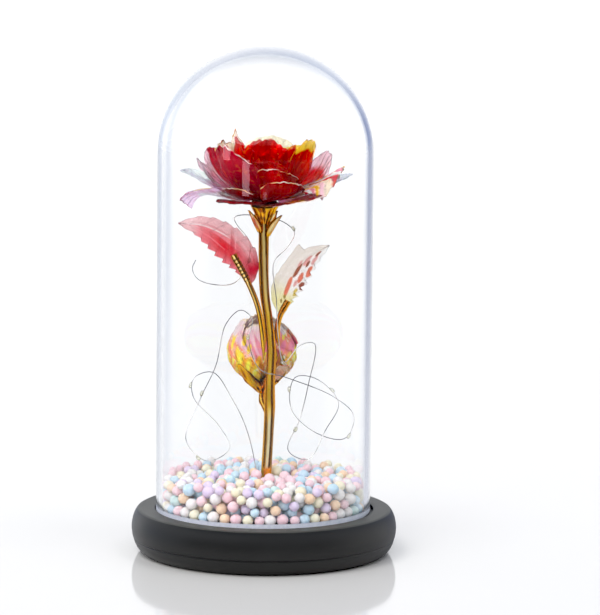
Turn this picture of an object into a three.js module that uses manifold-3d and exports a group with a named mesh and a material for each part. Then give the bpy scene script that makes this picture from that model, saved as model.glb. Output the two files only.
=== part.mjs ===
// A rose of folded coloured film with a gold stem, under a clear dome on a dark round base.
// Millimetres, +Z up, origin at the middle of the base's underside, the front of the rose towards -Y.
import * as THREE from 'three';
import { mergeVertices } from 'three/addons/utils/BufferGeometryUtils.js';
import Module from 'manifold-3d';

const wasm = await Module();
wasm.setup();

// Driving dimensions

const TOTAL_HEIGHT = 220;
const GAP = 0.3;
const ROUND_SIDES = 32;

const BASE_RADIUS = 57.5;
const BASE_HEIGHT = 19.2;
const BASE_RIDGE_RADIUS = 54.6;
const BASE_FOOT_RADIUS = 51;
const BASE_SEAM_HEIGHT = 7;
const BASE_WALL = 4;
const GROOVE_DEPTH = 1.6;
const GROOVE_INNER = 43.2;
const GROOVE_OUTER = 47.4;
const COVER_RADIUS = 46.2;
const COVER_THICKNESS = 1.2;
const SOCKET_RADIUS = 2.9;
const SOCKET_FLOOR = 11;
const WIRE_HOLE_RADIUS = 0.9;

const DOME_RADIUS = 46.5;
const DOME_WALL = 2.4;
const DOME_SHIFT_X = -0.5;
const DOME_ARC_STEPS = 6;

const BED_RADIUS = 43;
const BED_HOLE_RADIUS = 4;
const BED_LEVEL = 31.4;
const BED_RINGS = 8;
const BED_SIDES = 40;
const BED_LUMP_RADIUS = 3.7;
const BED_LUMP_RISE = 0.62;
const BED_LUMP_SPACING = 7.4;
const BED_ROW_SPACING = 6.4;
const BED_SWELL = 0.9;

const STEM_RADIUS = 2.3;
const STEM_SIDES = 10;
const STALK_RADIUS = 1.15;
const STALK_SIDES = 8;

const HEAD_X = -1.1;
const HEAD_FOOT = 152.4;
const BLOOM_NOD = 8;
const CALYX_FOOT = 143.3;

const BUD_X = -1.5;
const BUD_Y = 19;
const BUD_FOOT = 70.4;

const FILM = 0.4;
const PETAL_COLUMNS = 4;
const PETAL_ROWS = 5;
const FOOT_SHARE = 0.72;
const SHOULDER = 0.6;
const SLOPE_STEP = 0.01;

const WIRE_RADIUS = 0.25;
const WIRE_SIDES = 8;
const WIRE_STEPS = 78;
const LED_RADIUS = 0.95;
const LED_STRETCH = 1.5;

// Materials

const finish = (color, roughness, metalness, opacity = 1) => new THREE.MeshStandardMaterial({
  color, roughness, metalness, opacity, transparent: opacity < 1, side: THREE.DoubleSide,
});
const DARK_BASE = finish(0x3a3a39, 0.55, 0);
const CLEAR_GLASS = finish(0xf2f6fb, 0.03, 0, 0.25);
const PASTEL_FOAM = finish(0xe6d8e2, 0.7, 0);
const GOLD_PLATE = finish(0xc98a1b, 0.22, 0.9);
const RED_FILM = finish(0xb40014, 0.15, 0.2);
const PINK_FILM = finish(0xd86a86, 0.15, 0.2);
const PEARL_FILM = finish(0xe8dfe0, 0.15, 0.2);
const LEAF_RED_FILM = finish(0xe0405a, 0.2, 0.1);
const WIRE_SILVER = finish(0x9a9ca0, 0.3, 0.9);
const CLEAR_DROP = finish(0xf4f7ee, 0.05, 0, 0.6);

// Geometry helpers

const keepPositions = (geometry) => {
  geometry.deleteAttribute('normal');
  geometry.deleteAttribute('uv');
  return mergeVertices(geometry, 1e-3);
};

const toManifold = (geometry) => {
  const merged = keepPositions(geometry.clone());
  const vertProperties = new Float32Array(merged.attributes.position.array);
  const triVerts = new Uint32Array(merged.index.array);
  return new wasm.Manifold(new wasm.Mesh({ numProp: 3, vertProperties, triVerts }));
};

const fromManifold = (body) => {
  const mesh = body.getMesh();
  const geometry = new THREE.BufferGeometry();
  geometry.setAttribute('position', new THREE.BufferAttribute(mesh.vertProperties, 3));
  geometry.setIndex(new THREE.BufferAttribute(mesh.triVerts, 1));
  return geometry;
};

// A closed profile of [radius, height] points turned about the Z axis.
const turned = (profile, sides = ROUND_SIDES) => {
  const points = profile.map(([radius, height]) => new THREE.Vector2(radius, height));
  return new THREE.LatheGeometry(points, sides).rotateX(Math.PI / 2);
};

const circleShape = (radius, sides) => {
  const shape = new THREE.Shape();
  for (let i = 0; i < sides; i += 1) {
    const angle = (2 * Math.PI * i) / sides;
    const point = [radius * Math.cos(angle), radius * Math.sin(angle)];
    if (i === 0) shape.moveTo(...point);
    else shape.lineTo(...point);
  }
  return shape;
};

const curveThrough = (route) => {
  const points = route.map((point) => new THREE.Vector3(...point));
  return new THREE.CatmullRomCurve3(points, false, 'centripetal');
};

const rod = (route, radius, sides, steps) => new THREE.ExtrudeGeometry(
  circleShape(radius, sides),
  { steps, extrudePath: curveThrough(route), curveSegments: 1 },
);

// A thin closed sheet about the surface at(u, t), with u from -1 to 1 across and t from 0 to 1 along.
const filmSheet = (at, columns, rows, thickness = FILM) => {
  const grid = [];
  for (let j = 0; j <= rows; j += 1) {
    for (let i = 0; i <= columns; i += 1) {
      grid.push(at((2 * i) / columns - 1, j / rows));
    }
  }
  const width = columns + 1;
  const node = (i, j) => grid[j * width + i];
  const normals = grid.map((_, k) => {
    const i = k % width;
    const j = Math.floor(k / width);
    const across = node(Math.min(i + 1, columns), j).clone().sub(node(Math.max(i - 1, 0), j));
    const along = node(i, Math.min(j + 1, rows)).clone().sub(node(i, Math.max(j - 1, 0)));
    return across.cross(along).normalize();
  });
  const positions = [];
  for (const side of [1, -1]) {
    grid.forEach((point, k) => {
      positions.push(...point.clone().addScaledVector(normals[k], (side * thickness) / 2).toArray());
    });
  }
  const under = grid.length;
  const index = [];
  const quad = (a, b, c, d) => index.push(a, b, c, a, c, d);
  for (let j = 0; j < rows; j += 1) {
    for (let i = 0; i < columns; i += 1) {
      const a = j * width + i;
      quad(a, a + 1, a + 1 + width, a + width);
      quad(under + a, under + a + width, under + a + 1 + width, under + a + 1);
    }
  }
  const rim = [];
  for (let i = 0; i < columns; i += 1) rim.push(i);
  for (let j = 0; j < rows; j += 1) rim.push(j * width + columns);
  for (let i = columns; i > 0; i -= 1) rim.push(rows * width + i);
  for (let j = rows; j > 0; j -= 1) rim.push(j * width);
  rim.forEach((a, k) => {
    const b = rim[(k + 1) % rim.length];
    quad(a, under + a, under + b, b);
  });
  const geometry = new THREE.BufferGeometry();
  geometry.setAttribute('position', new THREE.Float32BufferAttribute(positions, 3));
  geometry.setIndex(index);
  return geometry;
};

const object = new THREE.Group();
const addPiece = (name, geometry, material, parent = object) => {
  const mesh = new THREE.Mesh(geometry, material);
  mesh.name = name;
  parent.add(mesh);
  return mesh;
};

// Base

const wireExit = new THREE.Vector3(-3.2, 0, BASE_HEIGHT);

const baseProfile = [
  [0, SOCKET_FLOOR - 3],
  [6.5, SOCKET_FLOOR - 3],
  [6.5, BASE_HEIGHT - BASE_WALL],
  [BASE_FOOT_RADIUS - 7, BASE_HEIGHT - BASE_WALL],
  [BASE_FOOT_RADIUS - 7, COVER_THICKNESS + 2 * GAP],
  [COVER_RADIUS + GAP, COVER_THICKNESS + 2 * GAP],
  [COVER_RADIUS + GAP, 0],
  [BASE_FOOT_RADIUS, 0],
  [BASE_FOOT_RADIUS + 2.6, 1],
  [BASE_FOOT_RADIUS + 4.9, 3.6],
  [BASE_RADIUS - 0.6, BASE_SEAM_HEIGHT],
  [BASE_RADIUS, 10.8],
  [BASE_RADIUS - 0.4, 14.2],
  [BASE_RADIUS - 1.5, 17.4],
  [BASE_RIDGE_RADIUS, BASE_HEIGHT],
  [GROOVE_OUTER, BASE_HEIGHT],
  [GROOVE_OUTER, BASE_HEIGHT - GROOVE_DEPTH],
  [GROOVE_INNER, BASE_HEIGHT - GROOVE_DEPTH],
  [GROOVE_INNER, BASE_HEIGHT],
  [SOCKET_RADIUS, BASE_HEIGHT],
  [SOCKET_RADIUS, SOCKET_FLOOR],
  [0, SOCKET_FLOOR],
];
const wireHoleProfile = [
  [0, SOCKET_FLOOR - 5],
  [WIRE_HOLE_RADIUS, SOCKET_FLOOR - 5],
  [WIRE_HOLE_RADIUS, BASE_HEIGHT + 1],
  [0, BASE_HEIGHT + 1],
];
const wireHole = turned(wireHoleProfile, WIRE_SIDES).translate(wireExit.x, wireExit.y, 0);
const baseSolid = toManifold(turned(baseProfile)).subtract(toManifold(wireHole));
addPiece('base', fromManifold(baseSolid), DARK_BASE);

const coverProfile = [
  [0, GAP],
  [COVER_RADIUS, GAP],
  [COVER_RADIUS, GAP + COVER_THICKNESS],
  [0, GAP + COVER_THICKNESS],
];
addPiece('base_cover', turned(coverProfile), DARK_BASE);

// Dome

const domeFoot = BASE_HEIGHT - GROOVE_DEPTH + GAP;
const domeSpring = TOTAL_HEIGHT - DOME_RADIUS;
const domeArc = (radius, step) => {
  const angle = (Math.PI / 2) * (step / DOME_ARC_STEPS);
  return [radius * Math.cos(angle), domeSpring + radius * Math.sin(angle)];
};
const domeProfile = () => {
  const inner = DOME_RADIUS - DOME_WALL;
  const profile = [[inner, domeFoot], [DOME_RADIUS, domeFoot]];
  for (let k = 0; k < DOME_ARC_STEPS; k += 1) profile.push(domeArc(DOME_RADIUS, k));
  profile.push([0, TOTAL_HEIGHT], [0, domeSpring + inner]);
  for (let k = DOME_ARC_STEPS - 1; k >= 0; k -= 1) profile.push(domeArc(inner, k));
  profile.push([inner, domeFoot]);
  return profile;
};
const dome = addPiece('glass_dome', turned(domeProfile()), CLEAR_GLASS);
dome.position.x = DOME_SHIFT_X;

// Bead bed: a ring round the stem whose top is lumpy with rows of beads

const beadLump = (x, y) => {
  const row = Math.round(y / BED_ROW_SPACING);
  const along = x / BED_LUMP_SPACING - (row % 2 === 0 ? 0 : 0.5);
  const dx = (along - Math.round(along)) * BED_LUMP_SPACING;
  const dy = y - row * BED_ROW_SPACING;
  return BED_LUMP_RISE * Math.sqrt(Math.max(BED_LUMP_RADIUS ** 2 - dx * dx - dy * dy, 0));
};
const bedSwell = (x, y) => BED_SWELL * Math.sin(x / 13 + 1.2) * Math.cos(y / 15);

const beadBed = () => {
  const positions = [];
  const ring = (radius, heightAt) => {
    for (let k = 0; k < BED_SIDES; k += 1) {
      const angle = (2 * Math.PI * k) / BED_SIDES;
      const x = radius * Math.cos(angle);
      const y = radius * Math.sin(angle);
      positions.push(x, y, heightAt(x, y));
    }
  };
  const floor = BASE_HEIGHT + GAP;
  ring(BED_HOLE_RADIUS, () => floor);
  for (let j = 0; j <= BED_RINGS; j += 1) {
    const radius = THREE.MathUtils.lerp(BED_HOLE_RADIUS, BED_RADIUS, j / BED_RINGS);
    ring(radius, (x, y) => BED_LEVEL + bedSwell(x, y) + beadLump(x, y));
  }
  ring(BED_RADIUS, () => floor);
  const rings = BED_RINGS + 3;
  const index = [];
  for (let j = 0; j < rings; j += 1) {
    for (let k = 0; k < BED_SIDES; k += 1) {
      const a = j * BED_SIDES + k;
      const b = j * BED_SIDES + ((k + 1) % BED_SIDES);
      const c = ((j + 1) % rings) * BED_SIDES + ((k + 1) % BED_SIDES);
      const d = ((j + 1) % rings) * BED_SIDES + k;
      index.push(a, c, b, a, d, c);
    }
  }
  const geometry = new THREE.BufferGeometry();
  geometry.setAttribute('position', new THREE.Float32BufferAttribute(positions, 3));
  geometry.setIndex(index);
  return geometry;
};
addPiece('bead_bed', beadBed(), PASTEL_FOAM);

// Stem and its branches

const stemRoute = [
  [0, 0, SOCKET_FLOOR + GAP],
  [0.1, 0, 20],
  [0.9, 0, 36],
  [2.0, 0, 62],
  [2.1, 0, 72],
  [2.6, 0, 88],
  [1.2, 0, 101],
  [-0.4, 0, 112],
  [-1.0, 0, 122],
  [HEAD_X, 0, CALYX_FOOT - GAP],
];
addPiece('stem', rod(stemRoute, STEM_RADIUS, STEM_SIDES, 14), GOLD_PLATE);

const leftStalkRoute = [
  [-0.8, -2.3, 84],
  [-0.9, -2.5, 92],
  [-2.0, -2.6, 101],
  [-3.6, -2.2, 108],
  [-6.4, -1.2, 115],
  [-10.2, -0.4, 122.5],
  [-14.2, -0.2, 129.5],
];
addPiece('leaf_stalk_left', rod(leftStalkRoute, STALK_RADIUS, STALK_SIDES, 9), GOLD_PLATE);

const rightStalkRoute = [
  [5.6, 2.2, 90],
  [5.0, 2.0, 97],
  [6.2, 1.4, 103],
  [9.6, 1.6, 109.6],
];
addPiece('leaf_stalk_right', rod(rightStalkRoute, STALK_RADIUS, STALK_SIDES, 8), GOLD_PLATE);

const budStalkRoute = [
  [1.8, 4.4, 55],
  [1.2, 7, 58.8],
  [-0.4, 12, 61.6],
  [BUD_X, 17, 63.4],
  [BUD_X, BUD_Y, 65.8],
];
addPiece('bud_stalk', rod(budStalkRoute, STALK_RADIUS, STALK_SIDES, 7), GOLD_PLATE);

// Calyxes: a solid cup whose rim runs out into pointed lobes

const LOBE_SIDES = 4;
const SEPAL_HALF = 1.7;
const SEPAL_THICKNESS = 0.6;

const lobedCup = (cup) => {
  const { footRadius, footZ, rimRadius, rimZ, lobes, lobeReach, lobeRise, thickness, middleZ, nod = 0 } = cup;
  const nodSlope = Math.tan(THREE.MathUtils.degToRad(nod));
  const sides = lobes * LOBE_SIDES;
  const rows = 3;
  const positions = [];
  const lobeAt = (k) => 0.5 + 0.5 * Math.cos((2 * Math.PI * k) / LOBE_SIDES);
  const ring = (t, lift) => {
    for (let k = 0; k < sides; k += 1) {
      const angle = (2 * Math.PI * k) / sides;
      const lobe = lobeAt(k) * t * t;
      const radius = THREE.MathUtils.lerp(footRadius, rimRadius, t ** 1.4) + lobeReach * lobe;
      const y = radius * Math.sin(angle);
      const z = THREE.MathUtils.lerp(footZ, rimZ, t) + lobeRise * lobe + lift + y * nodSlope * t;
      positions.push(radius * Math.cos(angle), y, z);
    }
  };
  for (let j = 0; j <= rows; j += 1) ring(j / rows, 0);
  ring(1, thickness);
  const lowCentre = positions.length / 3;
  positions.push(0, 0, footZ);
  positions.push(0, 0, middleZ);
  const index = [];
  const last = (rows + 1) * sides;
  for (let j = 0; j <= rows; j += 1) {
    for (let k = 0; k < sides; k += 1) {
      const a = j * sides + k;
      const b = j * sides + ((k + 1) % sides);
      index.push(a, b, b + sides, a, b + sides, a + sides);
    }
  }
  for (let k = 0; k < sides; k += 1) {
    const next = (k + 1) % sides;
    index.push(lowCentre, next, k, lowCentre + 1, last + k, last + next);
  }
  const geometry = new THREE.BufferGeometry();
  geometry.setAttribute('position', new THREE.Float32BufferAttribute(positions, 3));
  geometry.setIndex(index);
  return geometry;
};

const calyx = lobedCup({
  footRadius: 2.35, footZ: CALYX_FOOT, rimRadius: 4.4, rimZ: 150.4, middleZ: 151.9, thickness: 0.7,
  lobes: 5, lobeReach: 2.2, lobeRise: 0.5, nod: BLOOM_NOD,
});
const sepalRoute = curveThrough([[1.2, 0, 144.4], [4.2, 0, 145.6], [7.4, 0, 148]]);
const sepalAcross = (u, t) => new THREE.Vector3(0, SEPAL_HALF * u * (1 - 0.8 * t * t), 0);
const sepalSurface = (u, t) => sepalRoute.getPoint(t).add(sepalAcross(u, t));
const sepal = filmSheet(sepalSurface, 2, 3, SEPAL_THICKNESS);
const calyxSolid = toManifold(calyx).add(toManifold(sepal));
addPiece('calyx', fromManifold(calyxSolid), GOLD_PLATE).position.x = HEAD_X;

const budCalyx = lobedCup({
  footRadius: 1.5, footZ: 66.8, rimRadius: 6, rimZ: 70.6, middleZ: 68.4, thickness: 0.7,
  lobes: 5, lobeReach: 6, lobeRise: 3.8,
});
addPiece('bud_calyx', budCalyx, GOLD_PLATE).position.set(BUD_X, BUD_Y, 0);

// Petals

// All the petals of a whorl lie on one bowl. Its middle line runs out and up from the foot, and its reach and
// rise swell to the sides and to the back, as [mean, towards +X, towards +Y].
const swellAt = ([mean, side, back], angle) => mean + side * Math.cos(angle) + back * Math.sin(angle);

const bowlPoint = (whorl, angle, t, lift) => {
  const reach = swellAt(whorl.reach, angle);
  const rise = swellAt(whorl.rise, angle);
  const line = new THREE.CubicBezierCurve(
    new THREE.Vector2(whorl.footRadius, whorl.footRise),
    new THREE.Vector2(whorl.belly[0] * reach, whorl.belly[1] * rise),
    new THREE.Vector2(whorl.waist[0] * reach, whorl.waist[1] * rise),
    new THREE.Vector2(reach, rise),
  );
  const place = line.getPoint(t);
  const slope = line.getPoint(t + SLOPE_STEP).sub(line.getPoint(t - SLOPE_STEP)).normalize();
  const radius = place.x - slope.y * lift;
  return new THREE.Vector3(radius * Math.cos(angle), radius * Math.sin(angle), place.y + slope.x * lift);
};

// Half-width as a share of the petal's place in its whorl: a narrow foot that swells to a broad shoulder.
const petalShare = (whorl, t) => {
  const swell = Math.sin((Math.PI / 2) * Math.min(t / SHOULDER, 1));
  const taper = 1 - whorl.taper * Math.max(t - SHOULDER, 0);
  return THREE.MathUtils.lerp(FOOT_SHARE, whorl.share, swell) * taper;
};

// One petal: a patch of the bowl that leans round it, one edge lifted inward and the other outward so that
// neighbours lap, with a soft fold down the middle, a round end and an edge that rolls back.
const petalSurface = (whorl, petal) => (u, t) => {
  const { azimuth, length = 1, width = 1, tilt = 0, droop = 0, point = 0 } = petal;
  const turn = azimuth + whorl.lean * t * t + (u * width * petalShare(whorl, t) * 180) / whorl.petals.length;
  const lapped = THREE.MathUtils.smoothstep(t, 0, 0.35);
  const rolled = whorl.roll * u ** 4 * t * t + droop * t ** 4;
  const lift = whorl.lap * u * lapped - whorl.fold * (1 - Math.abs(u)) * t - rolled;
  const end = 1 - whorl.round * Math.abs(u) ** 2.4 + tilt * u + point * (1 - Math.abs(u)) ** 3;
  const along = t * length * THREE.MathUtils.lerp(1, end, t * t);
  return bowlPoint(whorl, THREE.MathUtils.degToRad(turn), along, lift);
};

// Each petal has an azimuth in degrees and, where they differ from the plain one, a length as a share of the
// bowl's line, a width, the tilt of its end, the droop of its tip and the reach of its middle point.
const headWhorls = [
  {
    name: 'petal_outer', footRadius: 6.2, footRise: 0, reach: [36, 0.4, -0.5], rise: [10.6, -0.4, 1.5],
    belly: [0.38, 0.12], waist: [0.72, 0.74], share: 0.98, taper: 0.7, round: 0.3,
    lean: 4, lap: 0.7, fold: 0.5, roll: 0.4,
    material: PEARL_FILM,
    petals: [
      { azimuth: 4, length: 1.02, point: 0.05 },
      { azimuth: 60, width: 1.2 },
      { azimuth: 120, width: 1.2 },
      { azimuth: 173, length: 1.02 },
      { azimuth: 210, length: 1.1, width: 0.7, droop: 1.8 },
      { azimuth: 242, length: 0.9, width: 0.7, droop: 1 },
      { azimuth: 304, length: 0.86, width: 1.25, tilt: 0.06 },
    ],
  },
  {
    name: 'petal_second', footRadius: 5, footRise: 1.2, reach: [27.6, 0, -0.5], rise: [21, -0.5, 1.6],
    belly: [0.62, 0.25], waist: [0.93, 0.46], share: 1.14, taper: 0.35, round: 0.26,
    lean: -6, lap: 0.85, fold: 0.5, roll: 0.6,
    material: PINK_FILM,
    petals: [
      { azimuth: 20 },
      { azimuth: 66, length: 0.94 },
      { azimuth: 114, length: 0.94, point: 0.16 },
      { azimuth: 156, length: 0.96 },
      { azimuth: 200, length: 1.01, width: 1.04 },
      { azimuth: 242, length: 0.68, tilt: 0.04 },
      { azimuth: 294, length: 0.8, tilt: -0.06, width: 1.1, droop: 0.4 },
      { azimuth: 338, length: 0.86, tilt: 0.08 },
    ],
  },
  {
    name: 'petal_third', footRadius: 3.8, footRise: 2, reach: [20, 0.3, -0.4], rise: [25.2, -0.8, 0],
    belly: [0.75, 0.3], waist: [1.0, 0.54], share: 1.16, taper: 0.3, round: 0.18,
    lean: -14, lap: 0.9, fold: 0.4, roll: 0.4,
    material: RED_FILM,
    petals: [
      { azimuth: 24 },
      { azimuth: 98 },
      { azimuth: 170 },
      { azimuth: 247, tilt: -0.14 },
      { azimuth: 314, length: 0.74, tilt: 0.1 },
    ],
  },
  {
    name: 'petal_fourth', footRadius: 2.6, footRise: 2.6, reach: [12.4, 0, 0], rise: [24.4, 0, 0],
    belly: [0.8, 0.34], waist: [1.14, 0.6], share: 1.14, taper: 0.3, round: 0.16,
    lean: -12, lap: 0.8, fold: 0.3, roll: 0.4,
    rows: 4, material: RED_FILM,
    petals: [
      { azimuth: 14 },
      { azimuth: 104 },
      { azimuth: 194, length: 0.98 },
      { azimuth: 284, length: 0.86 },
    ],
  },
  {
    name: 'petal_heart', footRadius: 1.5, footRise: 3.2, reach: [4.8, 0, 0], rise: [22.6, 0, 0],
    belly: [1.1, 0.34], waist: [1.4, 0.64], share: 1.1, taper: 0.3, round: 0.12,
    lean: -20, lap: 0.6, fold: 0.1, roll: 0,
    rows: 4, material: RED_FILM,
    petals: [
      { azimuth: 60 },
      { azimuth: 180, length: 0.97 },
      { azimuth: 300, length: 0.95 },
    ],
  },
];
const budWhorls = [
  {
    name: 'bud_petal_outer', footRadius: 2.5, footRise: 0.6, reach: [7, 0, 0], rise: [29.6, -1, 1],
    belly: [1.75, 0.15], waist: [3.5, 0.5], share: 1.14, taper: 0.6, round: 0.14,
    lean: -12, lap: 0.9, fold: 0.3, roll: 0.3,
    rows: 4, material: PINK_FILM,
    petals: [
      { azimuth: 14, length: 0.97 },
      { azimuth: 88 },
      { azimuth: 160, length: 0.98 },
      { azimuth: 228, length: 0.96 },
      { azimuth: 300, length: 0.9 },
    ],
  },
  {
    name: 'bud_petal_inner', footRadius: 1.6, footRise: 1.4, reach: [4, 0, 0], rise: [27.6, 0, 0.8],
    belly: [1.7, 0.2], waist: [4.3, 0.5], share: 1.12, taper: 0.6, round: 0.12,
    lean: -12, lap: 0.7, fold: 0.3, roll: 0.2,
    rows: 4, material: RED_FILM,
    petals: [
      { azimuth: 0 },
      { azimuth: 90 },
      { azimuth: 180, length: 0.98 },
      { azimuth: 270, length: 0.96 },
    ],
  },
];

const addWhorls = (whorls, flower) => {
  for (const whorl of whorls) {
    whorl.petals.forEach((petal, k) => {
      const sheet = filmSheet(petalSurface(whorl, petal), PETAL_COLUMNS, whorl.rows ?? PETAL_ROWS);
      addPiece(`${whorl.name}_${k + 1}`, sheet, whorl.material, flower);
    });
  }
};

// The bloom nods towards the front. The bud stands upright behind the stem.
const bloom = new THREE.Group();
bloom.position.set(HEAD_X, 0, HEAD_FOOT);
bloom.rotation.x = THREE.MathUtils.degToRad(BLOOM_NOD);
object.add(bloom);
addWhorls(headWhorls, bloom);

const bud = new THREE.Group();
bud.position.set(BUD_X, BUD_Y, BUD_FOOT);
object.add(bud);
addWhorls(budWhorls, bud);

// Leaves: pleated sheets with a toothed edge about a middle vein

const LEAF_ROWS = 10;
const LEAF_FULLNESS = 0.8;
const LEAF_TOOTH = 0.06;
const LEAF_PLEAT = 0.3;
const LEAF_DISH = -0.8;

const leafSurface = (leaf) => {
  const vein = curveThrough(leaf.vein);
  const facing = new THREE.Vector3(...leaf.facing).normalize();
  return (u, t) => {
    const place = vein.getPoint(t);
    const along = vein.getTangent(t);
    const across = along.clone().cross(facing).normalize();
    const side = u < 0 ? leaf.leftHalf : leaf.rightHalf;
    const swell = Math.sin(Math.PI * Math.min(t ** LEAF_FULLNESS, 1)) ** LEAF_FULLNESS;
    const wave = (Math.round(t * LEAF_ROWS) % 2 === 0 ? 1 : -1) * Math.abs(u);
    const half = Math.max(side * swell * (1 + LEAF_TOOTH * wave), leaf.footHalf);
    const lift = LEAF_PLEAT * wave + LEAF_DISH * u * u;
    return place.addScaledVector(across, u * half).addScaledVector(facing, lift);
  };
};

const leftLeaf = {
  vein: [[-6.2, 2.6, 117], [-9.5, 2.8, 126.5], [-17.8, 2.4, 135], [-27.5, 1.6, 141], [-38, 0.6, 142.9]],
  facing: [0.12, -1, 0.1], leftHalf: 7.2, rightHalf: 7.6, footHalf: 0.5,
};
const rightLeaf = {
  vein: [[6.4, 3.8, 103.6], [7.4, 4.4, 112.5], [12.2, 4.4, 121], [19, 3.8, 128.4], [27.2, 3, 133.6]],
  facing: [-0.1, -1, 0.12], leftHalf: 7, rightHalf: 7, footHalf: 0.5,
};
addPiece('leaf_left', filmSheet(leafSurface(leftLeaf), PETAL_COLUMNS, LEAF_ROWS), LEAF_RED_FILM);
addPiece('leaf_right', filmSheet(leafSurface(rightLeaf), PETAL_COLUMNS, LEAF_ROWS), PEARL_FILM);

// Fairy-light wire: one springy length that leaves the base beside the stem, stands in loops low down,
// crosses the bud, climbs the stem to the bloom and ends in a curl under the left leaf

const wireRoute = [
  [wireExit.x, wireExit.y, BASE_HEIGHT + GAP],
  [-3.3, -0.8, 33],
  [-7.6, -5.0, 53.9],
  [-14.1, -9.0, 68.5],
  [-22.3, -11.0, 80.0],
  [-30.3, -12.0, 77.4],
  [-30.2, -14.0, 69.5],
  [-19.4, -17.0, 58.0],
  [-14.5, -20.0, 48.6],
  [-23.9, -21.0, 43.2],
  [-33.1, -16.0, 51.2],
  [-27.8, -10.0, 67.6],
  [-21.1, -6.0, 82.3],
  [-17.0, -5.0, 100.0],
  [-10.6, -6.0, 106.3],
  [-5.6, -8.0, 102.6],
  [-7.0, -8.6, 93.5],
  [-2.2, -8.0, 81.0],
  [8.6, -8.0, 77.7],
  [29.8, -6.0, 68.9],
  [38.4, -4.0, 60.3],
  [34.6, -5.0, 50.8],
  [21.7, -9.0, 54.0],
  [11.3, -11.0, 64.7],
  [12.9, -11.0, 78.1],
  [22.3, -11.0, 77.4],
  [31.5, -10.0, 66.9],
  [26.0, -13.0, 55.6],
  [18.8, -18.0, 43.8],
  [10.2, -14.0, 46.9],
  [15.2, -6.0, 59.5],
  [18.5, -4.0, 73.2],
  [21.2, -3.0, 91.7],
  [14.9, -5.0, 91.1],
  [8.1, -7.0, 83.9],
  [5.6, -7.0, 94.7],
  [4.6, -5.0, 110.6],
  [3.4, -4.4, 126.9],
  [8.9, -3.0, 133.0],
  [12.2, -1.0, 139.0],
  [7.2, 4.0, 143.5],
  [-1.0, 7.0, 145.0],
  [-9.0, 3.0, 146.5],
  [-13.6, -1.0, 145.9],
  [-12.6, 5.6, 141.6],
  [-7.3, 7.2, 134.2],
  [-8.5, 7.6, 124.2],
  [-13.6, 6.6, 116.6],
  [-23.2, 1.0, 116.5],
  [-29.6, -2.0, 119.3],
  [-31.6, -3.0, 123.8],
  [-30.1, -3.4, 127.4],
];
const wireCurve = curveThrough(wireRoute);
addPiece('light_wire', rod(wireRoute, WIRE_RADIUS, WIRE_SIDES, WIRE_STEPS), WIRE_SILVER);

// Light drops sit on the outer side of the wire's bends. Each entry is a step along the wire.

const ledSteps = [10, 16, 20, 27, 36, 41, 44, 51, 58, 66, 73];
const wirePoints = wireCurve.getSpacedPoints(WIRE_STEPS);
ledSteps.forEach((step, k) => {
  const before = wirePoints[step - 1];
  const here = wirePoints[step];
  const after = wirePoints[step + 1];
  const along = after.clone().sub(before).normalize();
  const bendSide = here.clone().sub(before.clone().add(after).multiplyScalar(0.5)).normalize();
  const drop = new THREE.IcosahedronGeometry(LED_RADIUS, 0).scale(1, 1, LED_STRETCH);
  const led = addPiece(`led_${k + 1}`, drop, CLEAR_DROP);
  led.quaternion.setFromUnitVectors(new THREE.Vector3(0, 0, 1), along);
  led.position.copy(here).addScaledVector(bendSide, LED_RADIUS + WIRE_RADIUS + GAP);
});

export default object;
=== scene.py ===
"""Looks of a film rose with a gold stem under a clear dome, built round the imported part."""

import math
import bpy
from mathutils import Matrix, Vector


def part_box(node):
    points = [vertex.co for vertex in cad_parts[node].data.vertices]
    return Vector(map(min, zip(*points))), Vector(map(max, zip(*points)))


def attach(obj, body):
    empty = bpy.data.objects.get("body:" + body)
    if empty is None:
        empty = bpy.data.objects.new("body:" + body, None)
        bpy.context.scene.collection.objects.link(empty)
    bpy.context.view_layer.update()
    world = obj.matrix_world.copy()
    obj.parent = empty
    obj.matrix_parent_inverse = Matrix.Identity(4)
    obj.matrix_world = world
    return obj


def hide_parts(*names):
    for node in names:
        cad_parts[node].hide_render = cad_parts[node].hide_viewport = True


bl_info = {
    "name": "Rose in a glass dome",
    "version": (1, 0, 0),
    "blender": (4, 5, 0),
    "location": "3D View > Sidebar > Rose dome",
    "description": "Builds a film rose, its stem, leaves, light wire, bead bed, dome and base",
    "category": "Add Mesh",
}

import bpy
import numpy as np
from bpy.props import FloatProperty, FloatVectorProperty, IntProperty, PointerProperty
from mathutils import Matrix, Vector

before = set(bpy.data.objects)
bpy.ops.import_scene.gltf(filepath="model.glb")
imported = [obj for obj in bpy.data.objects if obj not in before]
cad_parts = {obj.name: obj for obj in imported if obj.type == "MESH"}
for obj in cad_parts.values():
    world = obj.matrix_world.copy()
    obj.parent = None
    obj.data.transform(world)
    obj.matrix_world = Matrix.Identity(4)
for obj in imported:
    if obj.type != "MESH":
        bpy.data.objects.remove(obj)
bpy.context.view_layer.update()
MM = 0.001

# Shapes shared with the solids, in millimetres and degrees

BASE_TOP = 19.2
DOME_FOOT = 17.9
DOME_TOP = 220
DOME_SHIFT = -0.5
HEAD_X = -1.1
HEAD_FOOT = 152.4
BLOOM_NOD = 8.0
CALYX_FOOT = 143.3
BUD_X = -1.5
BUD_Y = 19.0
BUD_FOOT = 70.4
FOOT_SHARE = 0.72
SHOULDER = 0.6

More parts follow.
